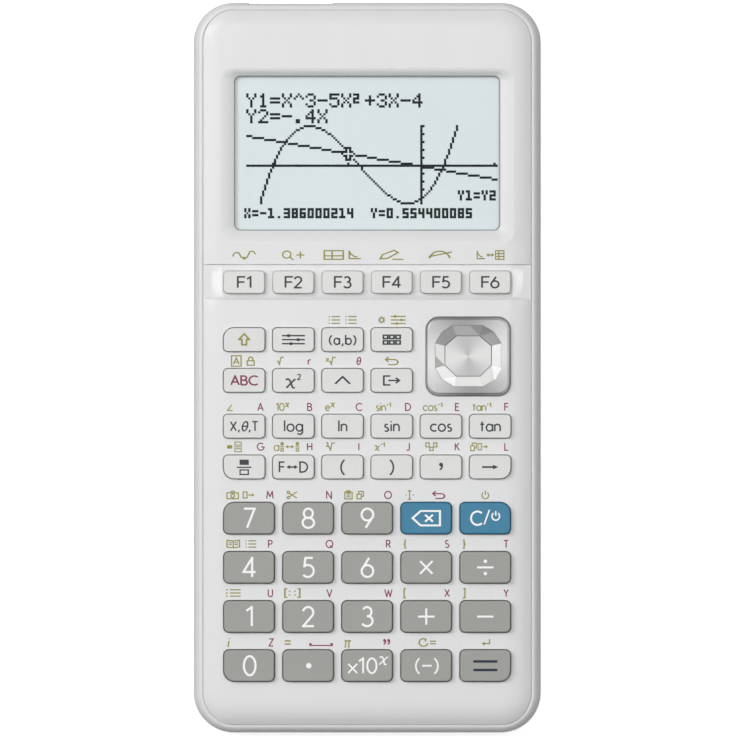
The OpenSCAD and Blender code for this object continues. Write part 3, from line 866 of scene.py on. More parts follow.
def socket_cutter(name, outline):
    """Prism along Y through the top end wall, from an outline in X and Z."""
    build = Builder()
    low, high = (build.add([(x, BODY_LENGTH / 2 + out, z) for x, z in outline])
                 for out in (-3, 1))
    build.bridge(high, low)
    build.face(low)
    build.face(high[::-1])
    return build.make(name, [SHELL_PLASTIC])


def cut(obj, cutters):
    """Subtracts the cutters, makes the result permanent and removes them."""
    for cutter in cutters:
        modifier = obj.modifiers.new("cut", "BOOLEAN")
        modifier.operation = "DIFFERENCE"
        modifier.solver = "EXACT"
        modifier.object = cutter
    bpy.context.view_layer.update()
    graph = bpy.context.evaluated_depsgraph_get()
    mesh = bpy.data.meshes.new_from_object(obj.evaluated_get(graph),
                                           preserve_all_data_layers=True, depsgraph=graph)
    obj.modifiers.clear()
    obj.data = mesh
    for cutter in cutters:
        cutter_mesh = cutter.data
        bpy.data.objects.remove(cutter)
        bpy.data.meshes.remove(cutter_mesh)


front = make_front_casing()
usb_outline = rounded_rect(8.2, 4.4, 0.7, center=(USB_X, 10.9), segments=5)
jack_outline = circle(-23.0, 10.3, 2.15, 40)
cut(front, [socket_cutter("cut_usb", usb_outline), socket_cutter("cut_jack", jack_outline)])
shade_smooth(front, 32)
weight_normals(front)
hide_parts("front_casing")
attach(front, "body")


# ---------------------------------------------------------------- keys
def make_key(node):
    """Key cap: hidden flange, straight wall, rounded top edge, and a slightly dished top."""
    center_x, center_y, width, depth = plan_box(node, KEY_FLANGE)
    top = top_of(node)
    fillet = 0.24 if node in LARGE else 0.30 if node in FUNCTION else 0.20

    def rings(profile):
        return [at_z(rounded_rect(width, depth, key_radii(node), inset,
                                  (center_x, center_y)), z) for inset, z in profile]

    # Inset and z from the flange up
    profile = [(-0.5, 15.0), (-0.6, 15.1), (-0.6, 15.6), (-0.5, 15.7), (0.0, 15.7),
               (0.0, 16.4), (0.0, top - 0.85), (0.02, top - fillet - 0.02)]
    for degrees in range(15, 91, 15):
        angle = math.radians(degrees)
        profile.append((0.02 + fillet * (1 - math.cos(angle)),
                        top - fillet + fillet * math.sin(angle)))
    profile += [(0.60, top - 0.004), (min(width, depth) * 0.28, top - 0.020)]
    build = Builder()
    bottom, crown = build.loft(rings(profile))
    build.face(crown)
    under = build.extend(bottom, rings([(0.1, 15.0), (0.5, 15.0), (0.55, 15.15)]), flip=True)
    build.face(under[::-1])
    if node in ("key_delete", "key_on_clear"):
        material, slot = KEY_BLUE, "key_blue"
    elif node in LARGE:
        material, slot = KEY_GREY, "key_grey"
    else:
        material, slot = KEY_WHITE, "key_white"
    obj = build.make(node + "_cap", [material], sharp=40)
    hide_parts(node)
    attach(obj, node)


for key in KEYS:
    make_key(key)


# ---------------------------------------------------------------- cursor pad materials
SILVER = (0.66, 0.66, 0.655)


def pad_polar(mat):
    """Distance from the pad's centre, and angle round it."""
    x, y, _ = mat.xyz()
    off_x, off_y = x - PAD_X * MM, y - PAD_Y * MM
    return mat.length(off_x, off_y), mat.math("ARCTAN2", off_y, off_x)


def spun_silver(name, tone, rough, span):
    """Silver spun about the pad's centre, with two opposite painted highlight lobes where spun
    metal would catch the light.
    """
    mat = Material(name)
    radius, angle = pad_polar(mat)
    rings = mat.noise(scale=1.0, detail=3.0, rough=0.65, at=mat.combined(radius * 14000.0))
    # Painted highlight and shade: bright lobes left and right, darker top and bottom, as spun
    # metal catches the light; the rings are the real spin marks
    painted_highlight_lobe = mat.math("COSINE", (angle + -0.12) * 2.0)
    mat.tint(painted_highlight_lobe * 0.37 + (rings * 0.28 + 0.35), shade(SILVER, tone), *span)
    mat.set(Metallic=0.60)
    mat.roughness(rings, rough - 0.07, rough + 0.08)
    mat.bump(rings, distance=2e-6, strength=0.45)
    return mat


def facet_silver_painted_light(name, tone, rough=0.30):
    """Silver brushed across one facet of the dish, in its own copy whose tone is painted light
    and shade: brighter on facets the light falls on, darker on the others.
    """
    mat = Material("pad_silver_painted_light_facet_" + name)
    radius, angle = pad_polar(mat)
    place_on_facet = mat.combined(angle * 62.0, radius * 300.0)
    broad = mat.noise(scale=1.0, rough=0.6, at=place_on_facet)
    fine = mat.noise(scale=4.0, rough=0.6, at=place_on_facet)
    pattern = mat.remap(broad * 0.75 + fine * 0.25, span=(0.3, 0.7), to=(0.0, 1.0))
    mat.tint(pattern, shade(SILVER, tone), low=0.94, high=1.06)
    mat.set(Metallic=0.60)
    mat.roughness(broad, rough - 0.03, rough + 0.04)
    mat.bump(broad, distance=2e-6, strength=0.08)
    return mat


# In the order of the pad's material slots. Rim and floor carry painted highlight lobes; the facet
# copies are one silver whose tones are painted light and shade.
PAD_MATERIALS = {
    "rim": spun_silver("pad_silver_rim", tone=0.475, rough=0.36, span=(0.45, 1.45)),
    "left": facet_silver_painted_light("left", tone=1.18),
    "shade": facet_silver_painted_light("shade", tone=1.13, rough=0.34),
    "deep": facet_silver_painted_light("deep", tone=0.80, rough=0.34),
    "mid": facet_silver_painted_light("mid", tone=0.70),
    "floor": spun_silver("pad_silver_spun", tone=0.51, rough=0.34, span=(0.70, 1.20)),
    "groove": plastic("pad_groove", (0.12, 0.12, 0.12), rough=0.5, cloud=0.04),
    "low": facet_silver_painted_light("low", tone=1.34),
    "dark": facet_silver_painted_light("dark", tone=0.54, rough=0.34),
    "right": facet_silver_painted_light("right", tone=0.66),
    "right_low": facet_silver_painted_light("right_low", tone=0.64),
    "corner": facet_silver_painted_light("corner", tone=0.71),
    "low_left": facet_silver_painted_light("low_left", tone=0.75),
    "corner_tip": facet_silver_painted_light("corner_tip", tone=0.43),
}
PAD_SLOT = {name: slot for slot, name in enumerate(PAD_MATERIALS)}


# ---------------------------------------------------------------- cursor pad
# Clockwise x, y from the pad's centre: the dish's edge in the rim, and the edge of its floor
DISH_EDGE = [(-3.69, 7.5), (0.35, 7.5), (3.55, 7.5), (6.2, 5.95), (8.0, 3.15),
             (7.9, -2.80), (6.45, -5.60), (3.52, -7.25), (-3.45, -7.25), (-6.4, -5.5),
             (-7.9, -2.85), (-8.0, 0.2), (-8.0, 3.15), (-6.3, 5.95)]
DISH_FLOOR = [(-2.92, 5.02), (2.75, 5.02), (5.66, 2.55), (5.66, -2.11), (2.92, -4.83),
              (-2.88, -4.83), (-5.67, -2.11), (-5.67, 2.55)]
# Facets clockwise from the top: corners on the dish's edge, corners on its floor, material (a
# copy of the silver whose tone is painted light and shade)
FACETS = [
    ((0, 1), (1, 0), "shade"), ((1, 2), (1,), "deep"), ((2, 3), (1,), "dark"),
    ((3, 4), (2, 1), "dark"), ((4, 5), (2,), "right"), ((5,), (3, 2), "right_low"),
    ((5, 6), (3,), "corner_tip"), ((6, 7), (4, 3), "corner"), ((7, 8), (5, 4), "low"),
    ((8, 9), (5,), "left"), ((9, 10), (6, 5), "low_left"), ((10, 11), (6,), "mid"),
    ((11, 12), (7, 6), "left"), ((12, 13), (7,), "dark"), ((13, 0), (0, 7), "dark"),
]


def pad_ring(inset, z):
    return at_z(rounded_rect(PAD_WIDTH, PAD_DEPTH, PAD_RADIUS, inset, (PAD_X, PAD_Y), 12), z)


def add_dish(build, rim_edge, top):
    """Rim plane, faceted dish, groove round its floor, and the floor."""
    def polygon(outline, scale, z):
        return build.add([(PAD_X + x * scale, PAD_Y + y * scale, z) for x, y in outline])

    def step_down(upper, lower, slot):
        for i in range(len(upper)):
            j = (i + 1) % len(upper)
            build.face([upper[j], upper[i], lower[i], lower[j]], PAD_SLOT[slot])

    outline = [(x, y) for x, y, _ in pad_ring(0.66, top)]
    hole = [(PAD_X + x, PAD_Y + y) for x, y in DISH_EDGE][::-1]
    points, triangles, owners = triangulate([outline, hole])
    base = build.add(at_z(points, top))
    weld = weld_map(base, owners[:1], [rim_edge])
    for triangle in triangles:
        build.face([weld.get(base[i], base[i]) for i in triangle])
    edge = [base[i] for i in owners[1]][::-1]       # back in DISH_EDGE's clockwise order
    chamfer = polygon(DISH_EDGE, 0.985, top - 0.07)
    # The chamfer takes the "mid" shaded copy of the silver: painted shade
    step_down(edge, chamfer, "mid")
    inner = polygon(DISH_FLOOR, 1.0, 17.56)
    for on_edge, on_floor, name in FACETS:
        ids = [chamfer[i] for i in on_edge] + [inner[i] for i in on_floor]
        build.face(ids[::-1], PAD_SLOT[name])
    groove = polygon(DISH_FLOOR, 0.985, 17.46)
    floor = polygon(DISH_FLOOR, 0.967, 17.50)
    for i in range(len(inner)):
        j = (i + 1) % len(inner)
        build.face([inner[j], inner[i], groove[i], groove[j]], PAD_SLOT["groove"])
        build.face([groove[j], groove[i], floor[i], floor[j]], PAD_SLOT["groove"])
    build.face(floor[::-1], PAD_SLOT["floor"])


def add_ears(build):
    """Two ears under the pad with bearing holes for the pivot."""
    ear = [(-1.5, 14.25), (1.5, 14.25), (1.5, 16.5), (-1.5, 16.5)]    # x and z
    points, triangles, owners = triangulate([ear, circle(0, 15.0, 0.74, 24)])
    for side in (-1, 1):
        near, far = (build.add([(PAD_X + x, PAD_Y + side * 3.9 + half, z) for x, z in points])
                     for half in (-0.7, 0.7))
        for triangle in triangles:
            build.face([near[i] for i in triangle])
            build.face([far[i] for i in triangle][::-1])
        outer, hole = owners
        build.bridge([far[i] for i in outer], [near[i] for i in outer])
        build.bridge([near[i] for i in hole], [far[i] for i in hole])


def make_pad():
    build = Builder()
    top = top_of("cursor_pad")
    # Inset and z: flange, wall, and rounded rim
    profile = [(-0.4, 14.62), (-0.5, 14.72), (-0.5, 15.0), (-0.4, 15.1), (0, 15.1),
               (0, 16.2), (0.0, 17.66), (0.03, 17.80), (0.09, 17.98), (0.18, 18.13),
               (0.27, 18.22), (0.36, top - 0.085), (0.66, top)]
    bottom, rim_edge = build.loft([pad_ring(inset, z) for inset, z in profile])
    add_dish(build, rim_edge, top)
    hollow = rounded_rect(PAD_WIDTH - 3, PAD_DEPTH - 3, 1.8, 0, (PAD_X, PAD_Y), 12)
    under = [pad_ring(0.4, 14.62), at_z(hollow, 14.62), at_z(hollow, 16.4)]
    build.face(build.extend(bottom, under, flip=True)[::-1])
    add_ears(build)
    obj = build.make("cursor_pad_cap", PAD_MATERIALS.values(), sharp=12)
    drop_loose(obj)
    for face in obj.data.polygons:
        if face.material_index not in (PAD_SLOT["rim"], PAD_SLOT["groove"]):
            face.use_smooth = False
    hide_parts("cursor_pad")
    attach(obj, "cursor_pad")


make_pad()


# ---------------------------------------------------------------- stroke lettering
def on_ellipse(center_x, center_y, radius_x, radius_y, degrees):
    angle = math.radians(degrees)
    return center_x + radius_x * math.cos(angle), center_y + radius_y * math.sin(angle)


def arc(center_x, center_y, radius_x, radius_y, start, end, steps=None):
    steps = int(steps or max(3, int(abs(end - start) / 15)))
    return [on_ellipse(center_x, center_y, radius_x, radius_y,
                       start + (end - start) * k / steps) for k in range(steps + 1)]


def oval(center_x, center_y, radius_x, radius_y):
    return arc(center_x, center_y, radius_x, radius_y, 90, 450, 28)


def box(left, low, right, high):
    return [(left, low), (right, low), (right, high), (left, high), (left, low)]


# One glyph to a line: name, width, then shapes parted by semicolons; cap height is 1.
# A shape is a stroke through points and pieces: arc:centre,radii,start,end[,steps],
# oval:centre,radii and box:left,low,right,high. fill: starts a solid polygon, and dot: is
# a disc with centre and radius. Indented lines carry on the line above.
STROKES = """
0 .61 oval:.305,.5,.305,.5
1 .34 .02,.80 .30,1 .30,0
2 .58 arc:.28,.72,.27,.28,168,-35 .02,0 .58,0
3 .56 arc:.26,.75,.23,.25,150,-90; arc:.26,.27,.29,.27,90,-150
4 .66 .48,0 .48,1 .02,.26 .66,.26
5 .58 .52,1 .14,1 .08,.56 arc:.26,.315,.31,.315,118,-140
6 .62 .40,1 .07,.48 arc:.31,.31,.305,.31,145,505
7 .56 0,1 .56,1 .16,0
8 .60 oval:.30,.755,.235,.245; oval:.30,.265,.30,.265
9 .62 .22,0 .55,.52 arc:.31,.69,.305,.31,-35,325
A .74 0,0 .37,1 .74,0; .13,.33 .61,.33
B .56 0,0 0,1 .28,1 arc:.28,.77,.22,.23,75,-75 .02,.53; .25,.53 arc:.30,.265,.26,.265,80,-80 0,0
C .76 arc:.48,.5,.48,.5,48,312,22
D .70 0,0 0,1 .22,1 arc:.22,.5,.48,.5,85,-85 0,0
E .48 .48,1 0,1 0,0 .48,0; 0,.52 .44,.52
F .48 .48,1 0,1 0,0; 0,.52 .44,.52
Fw .60 .60,1 0,1 0,0; 0,.52 .53,.52
G .88 arc:.48,.5,.48,.5,48,352,24 .94,.47 .55,.47
H .62 0,0 0,1; .62,0 .62,1; 0,.52 .62,.52
I .06 .03,0 .03,1
J .36 .36,1 .36,.24 arc:.16,.22,.20,.22,-10,-140
K .56 0,0 0,1; .52,1 .03,.48; .17,.60 .58,0
L .46 0,1 0,0 .46,0
M .88 0,0 .12,1 .44,.28 .76,1 .88,0
N .66 0,0 0,1 .66,0 .66,1
O .94 oval:.47,.5,.47,.5
P .52 0,0 0,1 .25,1 arc:.25,.74,.26,.26,80,-80 .02,.48
Q .94 oval:.47,.5,.47,.5; .56,.30 .90,-.04
R .56 0,0 0,1 .25,1 arc:.25,.745,.25,.255,80,-80 .02,.49; .24,.47 .57,0
S .52 arc:.27,.75,.22,.25,45,262 arc:.25,.26,.26,.26,80,-145,14
T .60 0,1 .60,1; .30,1 .30,0
U .60 0,1 0,.34 arc:.30,.31,.30,.31,180,360 .60,1
V .70 0,1 .35,0 .70,1
W 1.02 0,1 .27,0 .51,.82 .75,0 1.02,1
X .62 0,0 .62,1; 0,1 .62,0
Y .64 0,1 .32,.48 .64,1; .32,.48 .32,0
Z .60 .02,1 .58,1 0,0 .60,0
a .60 oval:.30,.34,.29,.33; .60,.68 .60,0
b .60 oval:.31,.34,.29,.33; 0,1.04 0,0
c .54 arc:.33,.34,.32,.33,48,312,16
e .60 .02,.36 .60,.36 arc:.31,.34,.29,.33,20,315,18
g .60 oval:.30,.34,.29,.33; .60,.68 .60,-.05 arc:.33,-.05,.27,.25,0,-140,8
i .08 .04,0 .04,.68; .04,.86 .04,.98
l .06 .03,0 .03,1.04
n .50 0,0 0,.68; 0,.38 arc:.25,.42,.25,.25,170,0,8 .50,0
o .64 oval:.32,.34,.32,.34
r .30 0,0 0,.68; 0,.36 arc:.26,.38,.26,.29,180,70
s .38 arc:.20,.51,.16,.16,50,262,10 arc:.18,.17,.19,.17,80,-140,10
t .36 .17,.94 .17,0; 0,.67 .36,.67
x .66 arc:.10,.50,.10,.14,165,60,5 .20,.60 .30,.40 .40,.10 arc:.50,.12,.12,.12,200,310,6;
  .64,.60 .54,.58 .06,.04 0,.06
theta .52 oval:.26,.5,.25,.5; .02,.5 .50,.5
pi .66 0,.66 .66,.66; .18,.64 .12,0; .46,.64 .46,.10 .56,0
( .22 arc:.62,.46,.62,.66,128,232,10
) .22 arc:-.40,.46,.62,.66,52,-52,10
[ .24 .24,1.08 0,1.08 0,-.14 .24,-.14
] .24 0,1.08 .24,1.08 .24,-.14 0,-.14
{ .26 .26,1.08 .13,1 .13,.58 0,.47 .13,.36 .13,-.06 .26,-.14
} .26 0,1.08 .13,1 .13,.58 .26,.47 .13,.36 .13,-.06 0,-.14
, .14 .12,.12 .02,-.18
bigdot .40 dot:.20,.50,.20
comma .30 dot:.15,.62,.13; .24,.60 .22,.44 .08,.26
quote .60 dot:.13,.90,.13; .22,.88 .20,.72 .06,.56; dot:.47,.90,.13; .56,.88 .54,.72 .40,.56
/ .42 0,-.08 .42,1.08
- .44 0,.42 .44,.42
minus .80 0,.5 .80,.5
+ .80 0,.5 .80,.5; .40,.1 .40,.9
times .66 .02,.18 .64,.82; .02,.82 .64,.18
divide .80 0,.5 .80,.5; dot:.40,.80,.085 dot:.40,.20,.085
= .62 0,.66 .62,.66; 0,.34 .62,.34
caret .86 0,.25 .43,.85 .86,.25
root .92 0,.42 .12,.50 .30,0 .52,1 .92,1
angle .70 .56,.80 0,0 .70,0
arrow 1.20 0,.5 .95,.5; fill:.80,.28 1.20,.5 .80,.72
both 1.10 .22,.5 .88,.5; fill:.34,.28 .34,.72 0,.5; fill:.76,.28 1.10,.5 .76,.72
return 1.10 1.06,.95 1.06,.35 .25,.35; fill:.42,.08 .42,.62 0,.35
fraction 1.10 fill:.20,.66 .90,.66 .90,1.06 .20,1.06; 0,.48 1.10,.48; box:.24,-.06,.86,.28
smallfrac .50 fill:.06,.64 .44,.64 .44,1.06 .06,1.06; 0,.48 .50,.48; box:.10,-.04,.40,.26
whole .62 fill:0,.27 .62,.27 .62,.69 0,.69
openfrac 1.0 box:.12,.70,.88,1.06; 0,.48 1,.48; box:.12,-.10,.88,.26
up 1.0 .50,1.05 0,.50 .28,.50 .28,0 .72,0 .72,.50 1,.50 .50,1.05
sliders 1.9 0,.95 1.9,.95; 0,.5 1.9,.5; 0,.05 1.9,.05;
  dot:.55,.95,.17 dot:1.35,.5,.17 dot:.75,.05,.17
grid 1.5 box:0,.62,.38,1; box:.56,.62,.94,1; box:1.12,.62,1.5,1;
  box:0,0,.38,.38; box:.56,0,.94,.38; box:1.12,0,1.5,.38
exit 1.5 .62,1 0,1 0,0 .62,0; .42,.5 1.42,.5; 1.12,.80 1.46,.5 1.12,.20
erase 1.7 .50,1 1.7,1 1.7,0 .50,0 0,.5 .50,1; .78,.74 1.26,.26; .78,.26 1.26,.74
power .96 arc:.48,.46,.44,.46,128,412,20; .48,1.08 .48,.52
lock .72 box:0,0,.72,.52; .14,.52 .14,.72 arc:.36,.72,.22,.26,180,0,8 .58,.52
boxa 1.0 box:-.02,-.12,.96,1.12; .18,.12 .47,.90 .76,.12; .27,.36 .67,.36
trace 2.3 arc:.40,.30,.40,.50,180,60 arc:1.15,.62,.42,.50,220,320,7
  arc:1.90,.40,.40,.55,120,20; dot:1.15,.13,.17
zoom 1.15 oval:.42,.55,.40,.42; .72,.24 1.08,-.08
window 1.9 box:0,0,1.7,1; 0,.40 1.7,.40; .70,0 .70,1
sketch 1.8 0,.05 .20,.55 1.10,1.05 1.40,.78 .55,.10 0,.05; .95,0 1.80,0
solve 1.9 arc:.85,-.30,.85,1.25,160,20,12; 0,.30 1.80,.85; dot:1.32,.70,.12
table 1.15 box:0,0,1.15,1; 0,.66 1.15,.66; 0,.33 1.15,.33; .45,0 .45,1
axes 1.15 .10,1 .10,.08 1.15,.08; arc:.95,1.10,.85,.85,190,262,7
back 1.3 .34,1 .04,.68 .34,.36; .08,.68 .90,.68 arc:.90,.36,.34,.32,90,-90,8 .30,.04
camera 1.5 box:0,0,1.5,.78; oval:.75,.39,.24,.24; .48,.78 .58,1 .92,1 1.02,.78
scissors 1.3 oval:.18,.16,.16,.16; oval:.18,.84,.16,.16; .30,.26 1.3,.92; .30,.74 1.3,.08
clipboard .96 box:0,-.02,.96,.88; box:.28,.74,.68,1.04; .22,.50 .74,.50; .22,.26 .74,.26
insert 1.1 .55,-.05 .55,1.05; .30,1.05 .80,1.05; .30,-.05 .80,-.05;
  dot:.08,.5,.09 dot:1.02,.5,.09
list 1.3 .36,.92 1.3,.92; .36,.5 1.3,.5; .36,.08 1.3,.08;
  dot:.08,.92,.09 dot:.08,.5,.09 dot:.08,.08,.09
matrix 1.4 .24,1.06 0,1.06 0,-.08 .24,-.08; 1.16,1.06 1.40,1.06 1.40,-.08 1.16,-.08;
  dot:.45,.74,.09 dot:.95,.74,.09 dot:.45,.24,.09 dot:.95,.24,.09
book 1.7 .85,0 .85,.90 .10,1 .10,.10 .85,0; .85,.90 1.60,1 1.60,.10 .85,0;
  .28,.70 .68,.64; .28,.45 .68,.39; 1.02,.64 1.42,.70; 1.02,.39 1.42,.45
space 1.5 0,.42 0,.06 1.5,.06 1.5,.42
recall 1.1 arc:.55,.5,.46,.48,60,350,18; .44,.98 .80,.92 .74,.62
convert 1.5 box:0,.10,.50,.90; .66,.5 1.25,.5; fill:1.14,.26 1.50,.5 1.14,.74
steps 1.4 box:0,.48,.42,1; box:.50,0,.92,.42; box:1,.48,1.40,1
stack .9 box:0,0,.56,.62; .24,.62 .24,.96 .84,.96 .84,.34 .56,.34
"""
PIECES = {"arc": arc, "oval": oval, "box": box}


def read_shape(text):
    """Kind (path, fill or dot) and points of one shape."""
    kind, points = "path", []
    for token in text.split():
        word, _, numbers = token.rpartition(":")
        values = [float(number) for number in numbers.split(",")]
        if word in PIECES:
            points += PIECES[word](*values)
        else:
            kind = word or kind
            points.append(tuple(values))
    return kind, points


def read_glyphs():
    """Width and shapes of every glyph, by name."""
    glyphs = {"sp": (0.30, [])}
    for line in STROKES.strip().replace("\n ", "").split("\n"):
        name, width, shapes = line.split(maxsplit=2)
        glyphs[name] = (float(width), [read_shape(shape) for shape in shapes.split(";")])
    teeth = [("path", [on_ellipse(.5, .5, radius, radius, angle) for radius in (.24, .48)])
             for angle in range(0, 360, 45)]
    glyphs["gear"] = (1.0, [("path", oval(.5, .5, .24, .24))] + teeth)
    return glyphs


GLYPHS = read_glyphs()


def turn(a, b, c):
    return (b[0] - a[0]) * (c[1] - a[1]) - (b[1] - a[1]) * (c[0] - a[0])


def stroke_quads(path, width):
    """Quads that thicken a path: mitred at soft turns, lengthened into hard ones."""
    points = [path[0]]
    for point in path[1:]:
        if math.dist(point, points[-1]) > 0.015:
            points.append(point)
    closed = len(points) > 3 and math.dist(points[0], points[-1]) < 1e-6
    if closed:
        points.pop()
    count = len(points)
    runs = count if closed else count - 1
    half = width / 2
    normals = []
    for i in range(runs):
        start, end = points[i], points[(i + 1) % count]
        length = math.dist(start, end)
        normals.append((-(end[1] - start[1]) / length, (end[0] - start[0]) / length))

    def corner_pair(i, at_end):
        """Left and right corners at one end of run i."""
        vertex = (i + at_end) % count
        x, y = points[vertex]
        normal_x, normal_y = normals[i]
        along_x = along_y = 0.0
        if closed or 0 < vertex < count - 1:
            other_x, other_y = normals[(i + 1 if at_end else i - 1) % runs]
            cosine = normal_x * other_x + normal_y * other_y
            if cosine > 0.2:
                mitre = 1 / (1 + cosine)
                normal_x, normal_y = (normal_x + other_x) * mitre, (normal_y + other_y) * mitre
            else:
                reach = math.sqrt(max(0.0, (1 - cosine) / (1 + cosine + 1e-6)))
                reach = half * min(1.0, reach) * (1 if at_end else -1)
                along_x, along_y = normal_y * reach * 0.9, -normal_x * reach * 0.9
        return ((x + normal_x * half + along_x, y + normal_y * half + along_y),
                (x - normal_x * half + along_x, y - normal_y * half + along_y))

    quads = []
    for i in range(runs):
        left_0, right_0 = corner_pair(i, 0)
        left_1, right_1 = corner_pair(i, 1)
        quad = [right_0, right_1, left_1, left_0]
        if min(turn(*(quad[k] for k in three))
               for three in ((0, 1, 2), (0, 2, 3), (1, 2, 3), (0, 1, 3))) <= 1e-7:
            # The joints crossed over: fall back to a plain rectangle
            shift_x, shift_y = normals[i][0] * half, normals[i][1] * half
            (x0, y0), (x1, y1) = points[i], points[(i + 1) % count]
            quad = [(x0 - shift_x, y0 - shift_y), (x1 - shift_x, y1 - shift_y),
                    (x1 + shift_x, y1 + shift_y), (x0 + shift_x, y0 + shift_y)]
        quads.append(quad)
    return quads


def border_edges(faces):
    """Directed edges that belong to one face only."""
    edges = dict.fromkeys(edge for face in faces for edge in zip(face, face[1:] + face[:1]))
    return [edge for edge in edges if edge[::-1] not in edges]


def refill(points, triangles, border):
    """Keeps only the border's points and triangulates the region afresh.

    Returns the input unchanged if the new border is not the old one.
    """
    kept = sorted({i for edge in border for i in edge})
    index = {old: new for new, old in enumerate(kept)}
    new_points = [points[i] for i in kept]
    edges = [(index[a], index[b]) for a, b in border]
    result = delaunay_2d_cdt(new_points, edges, [], 0, 1e-6, False)
    if len(result[0]) != len(new_points):
        return points, triangles, border
    old = np.array([[points[i] for i in face] for face in triangles if len(face) == 3])

    def covered(x, y):
        """Whether a point lies in any of the old triangles."""
        within = True
        for first, second in ((0, 1), (1, 2), (2, 0)):
            start, end = old[:, first], old[:, second]
            side = ((end[:, 0] - start[:, 0]) * (y - start[:, 1])
                    - (end[:, 1] - start[:, 1]) * (x - start[:, 0]))
            within = within & (side >= -1e-9)
        return np.any(within)

    new_triangles = []
    for face in result[2]:
        x, y = (sum(new_points[i][axis] for i in face) / len(face) for axis in (0, 1))
        if covered(x, y):
            new_triangles.append(anticlockwise(face, new_points))
    new_border = border_edges(new_triangles)
    if len(new_border) != len(edges):
        return points, triangles, border
    return new_points, new_triangles, new_border


@functools.cache
def glyph_mesh(name, stroke):
    """Points, triangles and border edges of a glyph at unit height."""
    polygons = []
    for kind, shape in GLYPHS[name][1]:
        if kind == "fill":
            polygons.append(shape)
        elif kind == "dot":
            polygons += [circle(x, y, max(radius, stroke * 0.55), 20) for x, y, radius in shape]
        else:
            polygons += stroke_quads(shape, stroke)
    points, faces = [], []
    for polygon in polygons:
        area = double_area(polygon)
        if abs(area) < 1e-7:
            continue
        faces.append(list(range(len(points), len(points) + len(polygon))))
        points.extend(polygon if area > 0 else polygon[::-1])
    if not faces:
        return [], [], []
    plain = [(float(x), float(y)) for x, y in points]
    result = delaunay_2d_cdt(plain, [], faces, 1, 1e-4, True)
    points = [(point[0], point[1]) for point in result[0]]
    triangles = [anticlockwise(face, points) for face, sources in zip(result[2], result[5])
                 if sources and abs(double_area([points[i] for i in face])) >= 1e-9]
    return refill(points, triangles, border_edges(triangles))


def read_label(text):
    """Glyph name, scale and rise of each mark in a label such as 'e x^.82,.52'."""
    marks = []
    for token in text.split():
        name, _, raised = token.partition("^")
        scale, rise = map(float, raised.split(",")) if raised else (1.0, 0.0)
        marks.append((name, scale, rise))
    return marks


class Lettering(Builder):
    """Lettering in one ink on one body: thin raised meshes that follow a surface."""

    def label(self, text, center_x, center_y, surface, height, stroke,
              gap=0.17, squeeze=1.0, slant=0.0):
        size = height - stroke
        marks = read_label(text)
        starts, width = [], 0.0
        for k, (name, scale, _) in enumerate(marks):
            starts.append(width)
            width += GLYPHS[name][0] * size * scale * squeeze
            if k < len(marks) - 1:
                width += gap * size
        left = center_x - width / 2
        for (name, scale, rise), start in zip(marks, starts):
            points, triangles, border = glyph_mesh(name, stroke / (size * scale))
            placed = [(left + start + (x + slant * y) * size * scale * squeeze,
                       center_y - size / 2 + rise * size + y * size * scale)
                      for x, y in points]
            low, high = (self.add([(x, y, surface(x, y) + lift) for x, y in placed])
                         for lift in (-0.03, 0.014))
            for triangle in triangles:
                self.face([high[i] for i in triangle])
                self.face([low[i] for i in triangle][::-1])
            for i, j in border:
                self.face([low[i], low[j], high[j], high[i]])

    def finish(self, name, material, body, slot):
        obj = self.make(name, [material])
        drop_loose(obj)
        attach(obj, body)


